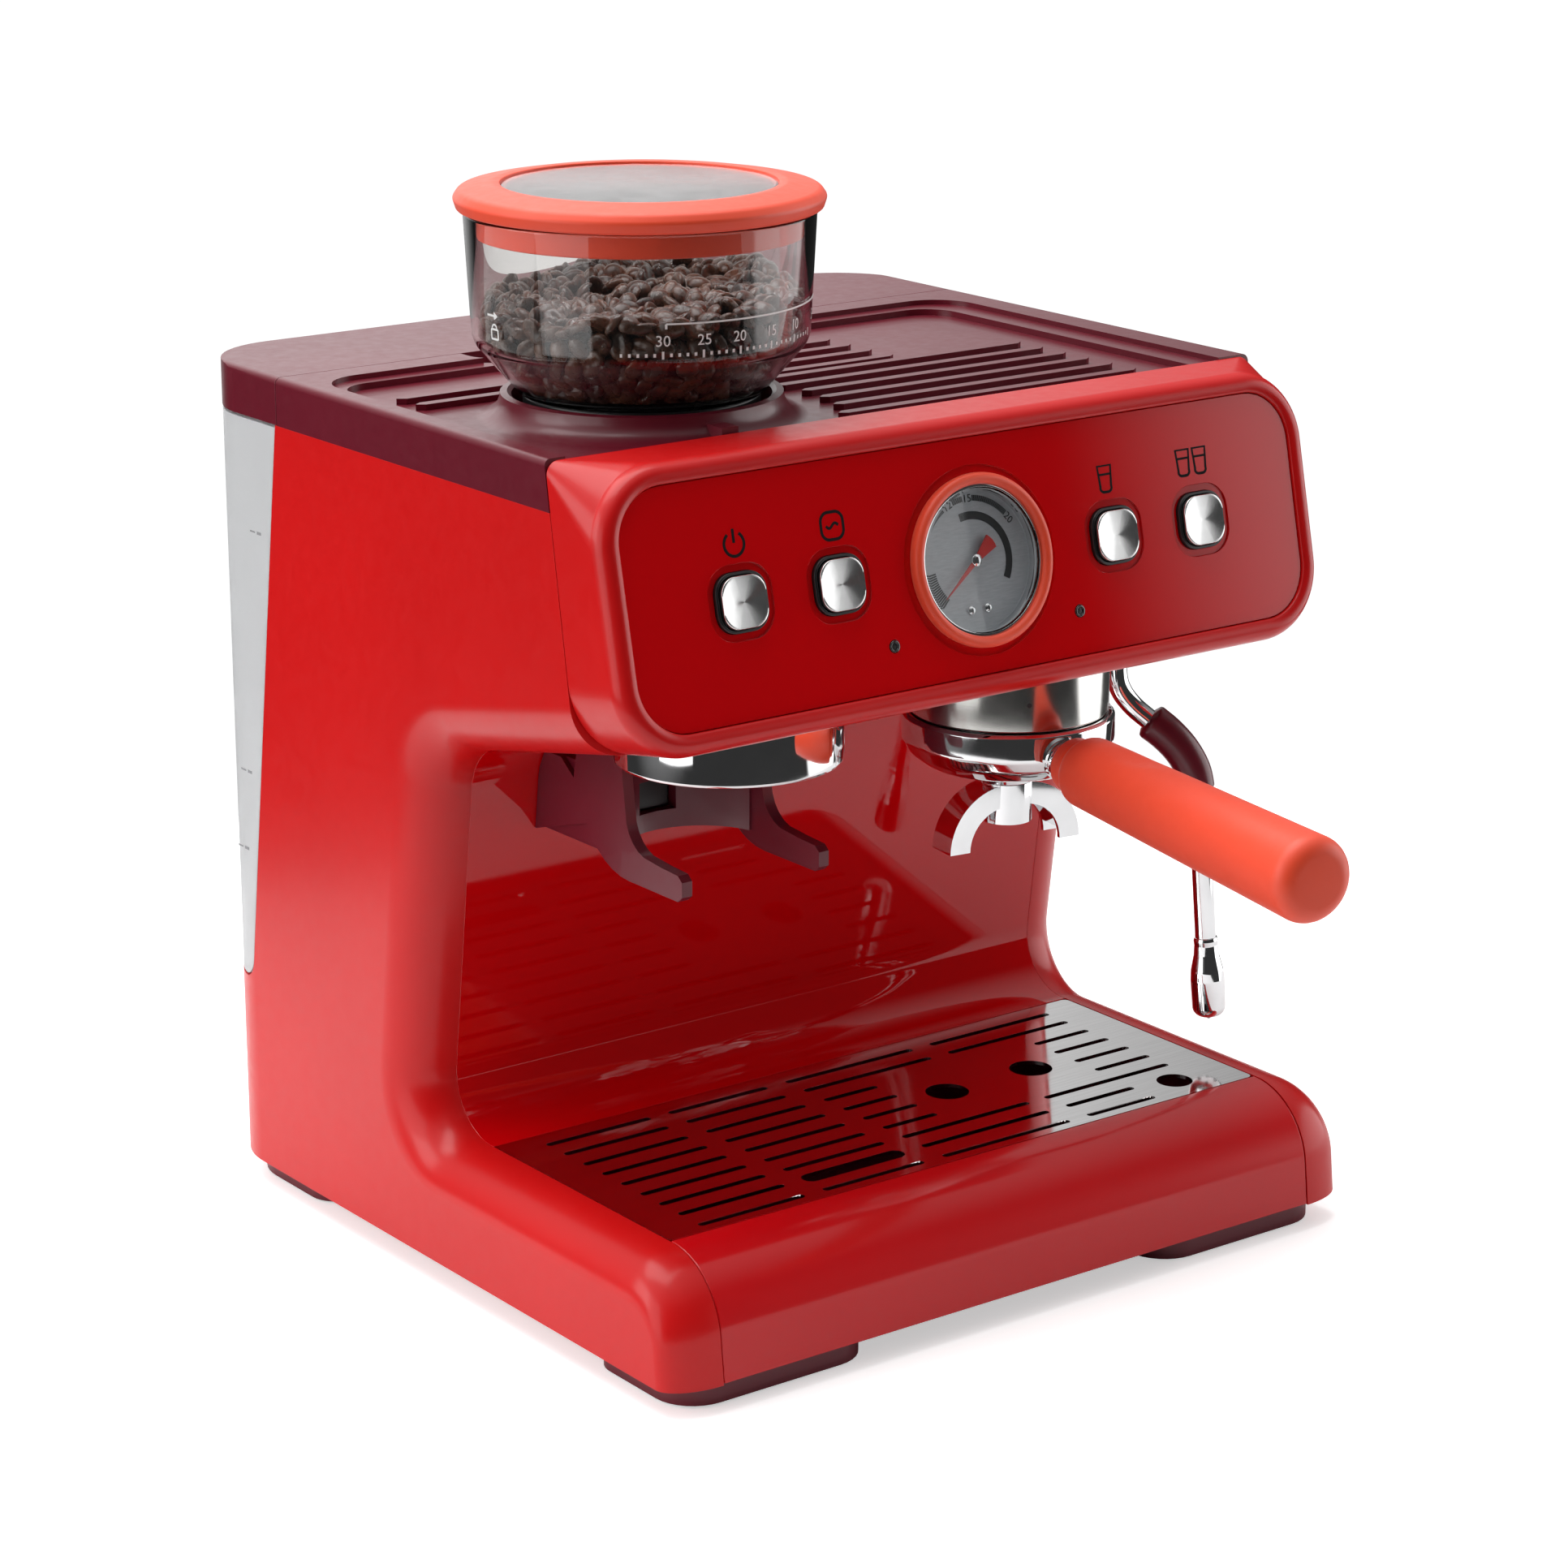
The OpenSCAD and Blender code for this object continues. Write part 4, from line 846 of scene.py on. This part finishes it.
piece("jar_scale", *jar_scale(), "hopper", "white_plastic", WHITE_PRINT, AT_BURR, sharp=60)
# thin clear walls cast no shadow on what they cover
for wall in ("hopper_jar_turned", "lid_window_turned", "gauge_glass_turned"):
    bpy.data.objects[wall].visible_shadow = False

# ---------------------------------------------------------------- grinder ring, group and portafilter
lathe("grinder_ring", [(38.8, 196), (39.3, 195), (40.5, 195), (41, 196), (41, 215.8), (20, 215.8),
                       (20, 213.8), (38.8, 213.8)], [0.2, 0.4, 0.4, 0.4, 0.8, 0.3, 0.3, 1.0], CHROME,
      at(GRIND_X, RING_Y), steps=160)
lathe("group_collar", [(35.2, 191.5), (35.7, 191), (36.8, 191), (37.2, 191.6), (37.2, 214.8), (35.2, 214.8)],
      [0.1, 0.2, 0.3, 0.3, 0.3, 0.2], TURNED, AT_GROUP, steps=160)
INSERT_DOT = wrapped(moved(slab(arc(0.9, 0, 350, 35), -0.05, 0.05), y=201.5), lambda z: 37.24, -118)
piece("insert_dot", *INSERT_DOT, "machine", "black_plastic", DIAL_PRINT, AT_GROUP)

CUP_WALL = [(3, 163.2), (9.6, 163.2), (11, 167.8), (22, 168.5), (31, 171), (37, 175.5), (39.5, 180.5),
            (39.5, 189.4), (38.5, 190.6), (31.7, 190.6), (31.7, 203.3), (30.3, 203.3), (30.3, 179),
            (29.8, 177.5), (10, 174), (3, 172)]
lathe("portafilter_body", CUP_WALL, [0.2, 0.6, 1.5, 8, 8, 6, 4, 0.9, 0.7, 0.4, 0.4, 0.3, 1, 1, 2, 0.5],
      CHROME, AT_GROUP, steps=160, arc_steps=7)


def ear(sign):
    a0 = 0 if sign > 0 else 180
    half = math.degrees(math.asin(7.5 / 34.4))
    outline = arc(34.4, a0 - half, a0 + half, 12) + arc(31.2, a0 + half, a0 - half, 12)
    return slab(outline, 194.7, 198.6)


piece("portafilter_ears", *merge([ear(1), ear(-1)]), "portafilter", "chrome", CHROME,
      AT_GROUP @ turn(-TURN_IN, "Z"))
lathe("portafilter_body", [(0, 34.5), (7.0, 34.5), (8.0, 37.5), (7.8, 40), (8.5, 42), (8.2, 44.9), (0, 44.9)],
      [0, 1.5, 1.5, 1.0, 0.9, 0.6, 0], CHROME, AT_HANDLE, name="portafilter_neck", steps=96, stands=False)
lathe("filter_basket", [(0, 178.8), (29, 178.8), (30, 180), (30, 203.4), (31.4, 203.4), (31.4, 204.4),
                        (29.2, 204.4), (29.2, 180), (28.6, 179.6), (0, 179.6)],
      [0, 0.6, 0.6, 0.2, 0.2, 0.3, 0.5, 0.5, 0.3, 0], SHEET, AT_GROUP)


def handle():
    """Tapered soft grip with a collar, a shadow line and a thumb hollow on top."""
    profile = [(4.5, 45), (9.6, 45), (10.2, 46), (10.2, 50), (9.75, 51.2), (10.5, 52.4), (13.2, 55.6),
               (15.4, 190), (15.5, 197), (0, 197), (0, 64.2), (4.5, 64.2)]
    outline = rounded(profile, [0.2, 0.5, 0.6, 0.5, 0.5, 1.0, 5, 2, 6.6, 0, 0, 0], 9)
    dense = []
    for i, p in enumerate(outline):
        q = outline[(i + 1) % len(outline)]
        cut = max(1, int(np.linalg.norm(q - p) / 3)) if min(p[0], q[0]) > 12 else 1
        dense += [p + (q - p) * k / cut for k in range(cut)]
    points, faces = lathe_mesh([(max(0.0, p[0]), p[1]) for p in dense], 128)
    out = []
    for x, y, z in points:
        if abs(z - 86) < 40 and y > 0:
            hollow = 72.4 - math.sqrt(60 ** 2 - (z - 86) ** 2)
            blend = 0.5 * (y + hollow - math.sqrt((y - hollow) ** 2 + 0.5))
            y = min(y, blend + 0.1)
        out.append((x, y, z))
    return out, faces


points, faces = handle()
grip_piece = piece("portafilter_grip", points, faces, "portafilter", "coral", CORAL, AT_HANDLE,
                   ("portafilter_handle",), sharp=30)
# the slanted grip's place goes into its mesh, so that its box is the true one
grip_piece.data.transform(AT_HANDLE)
grip_piece.matrix_world = Matrix.Identity(4)

# ---------------------------------------------------------------- wand and water spout
path = smooth_path(WAND_PATH, 6)
tube = sweep(path, [4.1] * len(path), 40)
ball = lathe_mesh([tuple(p) for p in arc(8.0, -90, 90, 32, (0, WAND[2]))], 48)
piece("wand_tube_bent", *merge([tube, ball]), "wand", "chrome", CHROME, AT_WAND, ("wand_tube",))


def grip():
    grip_path = smooth_path(WAND_PATH[4:9], 10)
    n = len(grip_path)
    outside = []
    for i in range(n):
        s = i / (n - 1)
        end = min(1.0, s / 0.06, (1 - s) / 0.06)
        outside.append(5.0 + 2.2 * math.sqrt(1 - (1 - end) ** 2) - 0.5 * s)
    return sweep(grip_path, outside, 40)


piece("wand_grip_sleeve", *grip(), "wand", "maroon", MAROON, AT_WAND, ("wand_grip",), sharp=50)
TIP = AT_WAND @ Matrix.Translation((0, -37 * MM, 86.8 * MM)) @ turn(180 - 4.18, "X")
lathe("wand_tip", [(0, -1.2), (4.45, -1.2), (4.8, 0.2), (4.6, 2), (5, 6), (6.4, 12), (6.7, 16), (6.4, 31),
                   (0, 31)], [0, 0.4, 0.3, 1, 6, 8, 8, 4, 0], CHROME, TIP, steps=80, arc_steps=8)
for k in range(4):
    hole = moved(lathe_mesh([(0, 30.7), (0.7, 30.7), (0.7, 31.04), (0, 31.04)], 24), 3)
    piece(f"wand_hole_{k}", *moved(hole, spin=90 * k), "wand", "black_plastic", BLACK, TIP)
lathe("hot_water_spout", [(3.4, 166.5), (5, 166.5), (5, 220), (0, 220), (0, 215), (3.4, 215)],
      [0.2, 0.4, 0, 0, 0, 0], CHROME, at(51.5, 128.5), steps=72)
lathe("hot_water_spout", [(3.3, 163), (5.0, 163), (5.0, 166.4), (3.3, 166.4)], [0.3, 0.8, 0.2, 0.2], BLACK,
      at(51.5, 128.5), name="water_spout_ring", steps=72, stands=False)

# ---------------------------------------------------------------- floor, light and camera
def floor():
    """Round white table top, lifted for camera rays so that it runs into the white room behind it."""
    ring = arc(FLOOR_R, 0, 360, 97)[:-1]
    mesh = bpy.data.meshes.new("studio_floor")
    mesh.from_pydata([(x, y, 0) for x, y in ring] + [(x, y, -0.02) for x, y in ring], [],
                     [list(range(96)), list(range(191, 95, -1))]
                     + [[i, 96 + i, 96 + (i + 1) % 96, (i + 1) % 96] for i in range(96)])
    obj = bpy.data.objects.new("studio_floor", mesh)
    bpy.context.scene.collection.objects.link(obj)
    look = Look("white_floor", Specular_IOR_Level=0.1)
    look.colour(look.noise(3), (0.90, 0.90, 0.90), (0.93, 0.93, 0.93))
    look.rough(look.noise(40), 0.6, 0.7)
    path = look.nodes.new("ShaderNodeLightPath")
    lift = look.nodes.new("ShaderNodeMath")
    lift.operation = "MULTIPLY"
    lift.inputs[1].default_value = FLOOR_LIFT
    look.links.new(path.outputs["Is Camera Ray"], lift.inputs[0])
    look.links.new(lift.outputs["Value"], look.shader.inputs["Emission Strength"])
    look.shader.inputs["Emission Color"].default_value = (1, 1, 1, 1)
    mesh.materials.append(look.mat)


def softbox(name, spot, aim, size, power, colour=(1, 1, 1), spread=180):
    light = bpy.data.lights.new(name, "AREA")
    light.shape = "RECTANGLE"
    light.size, light.size_y = size
    light.energy = power
    light.color = colour
    light.spread = math.radians(spread)
    obj = bpy.data.objects.new(name, light)
    bpy.context.scene.collection.objects.link(obj)
    obj.location = spot
    obj.rotation_euler = (Vector(aim) - Vector(spot)).to_track_quat("-Z", "Y").to_euler()
    obj.visible_camera = False
    return obj


# soft patches of sky: direction, cosine where it starts, cosine where it is full, brightness
FLOOR_R = 0.62
FLOOR_LIFT = 0.5
AMBIENT = 0.035
LOBES = [((0, 0.3, 1), 0.35, 0.9, 0.7), ((-1, 0.3, 0.5), 0.6, 0.98, 0.4),
         ((0.94, -0.342, 0.06), 0.862, 0.9, 2.3), ((0.25, 0.95, 0.25), 0.84, 0.985, 1.1)]


def studio():
    world = bpy.data.worlds.new("studio")
    bpy.context.scene.world = world
    world.use_nodes = True
    nodes, links = world.node_tree.nodes, world.node_tree.links
    fill = nodes["Background"]
    fill.inputs["Color"].default_value = (1, 1, 1, 1)
    direction = nodes.new("ShaderNodeTexCoord").outputs["Generated"]
    total = None
    for aim, start, end, power in LOBES:
        dot = nodes.new("ShaderNodeVectorMath")
        dot.operation = "DOT_PRODUCT"
        dot.inputs[1].default_value = Vector(aim).normalized()
        links.new(direction, dot.inputs[0])
        lobe = nodes.new("ShaderNodeMapRange")
        lobe.interpolation_type = "SMOOTHSTEP"
        lobe.inputs["From Min"].default_value = start
        lobe.inputs["From Max"].default_value = end
        lobe.inputs["To Max"].default_value = power
        links.new(dot.outputs["Value"], lobe.inputs["Value"])
        add = nodes.new("ShaderNodeMath")
        add.inputs[1].default_value = AMBIENT
        links.new(lobe.outputs["Result"], add.inputs[0])
        if total:
            links.new(total, add.inputs[1])
        total = add.outputs["Value"]
    links.new(total, fill.inputs["Strength"])
    white = nodes.new("ShaderNodeBackground")
    white.inputs["Color"].default_value = (1, 1, 1, 1)
    white.inputs["Strength"].default_value = 1.05
    path = nodes.new("ShaderNodeLightPath")
    away = nodes.new("ShaderNodeVectorMath")
    away.operation = "DOT_PRODUCT"
    away.inputs[1].default_value = (0.6, 0.8, 0)
    links.new(direction, away.inputs[0])
    behind = nodes.new("ShaderNodeMath")
    behind.operation = "GREATER_THAN"
    behind.inputs[1].default_value = -0.2
    links.new(away.outputs["Value"], behind.inputs[0])
    glazed = nodes.new("ShaderNodeMath")
    glazed.operation = "MULTIPLY"
    links.new(path.outputs["Is Transmission Ray"], glazed.inputs[0])
    links.new(behind.outputs["Value"], glazed.inputs[1])
    through = nodes.new("ShaderNodeMath")
    through.operation = "MAXIMUM"
    links.new(path.outputs["Is Camera Ray"], through.inputs[0])
    links.new(glazed.outputs["Value"], through.inputs[1])
    mix = nodes.new("ShaderNodeMixShader")
    links.new(through.outputs["Value"], mix.inputs["Fac"])
    links.new(fill.outputs["Background"], mix.inputs[1])
    links.new(white.outputs["Background"], mix.inputs[2])
    links.new(mix.outputs["Shader"], nodes["World Output"].inputs["Surface"])
    softbox("overhead", (-0.15, 0.4, 1.5), (0, 0.0, 0.1), (1.4, 1.2), 19)
    softbox("left_key", (-1.6, 0.7, 0.9), (0, 0, 0.22), (0.9, 0.9), 7.5)
    softbox("left_wall", (-1.25, -0.06, 0.38), (0, -0.06, 0.2), (0.8, 1.0), 4.0)


def camera():
    """The viewing angle: 36.75 degrees round to the left and 16.5 degrees down."""
    data = bpy.data.cameras.new("camera")
    data.lens = 97.74
    data.sensor_width = 36
    data.clip_end = 60
    obj = bpy.data.objects.new("camera", data)
    bpy.context.scene.collection.objects.link(obj)
    obj.location = (-0.9279, -1.18215, 0.6193)
    obj.rotation_euler = (math.radians(90 - 16.46), 0, math.radians(-36.75))
    bpy.context.scene.camera = obj


floor()
studio()
camera()
bpy.context.scene.view_settings.view_transform = "Standard"

bpy.context.view_layer.update()
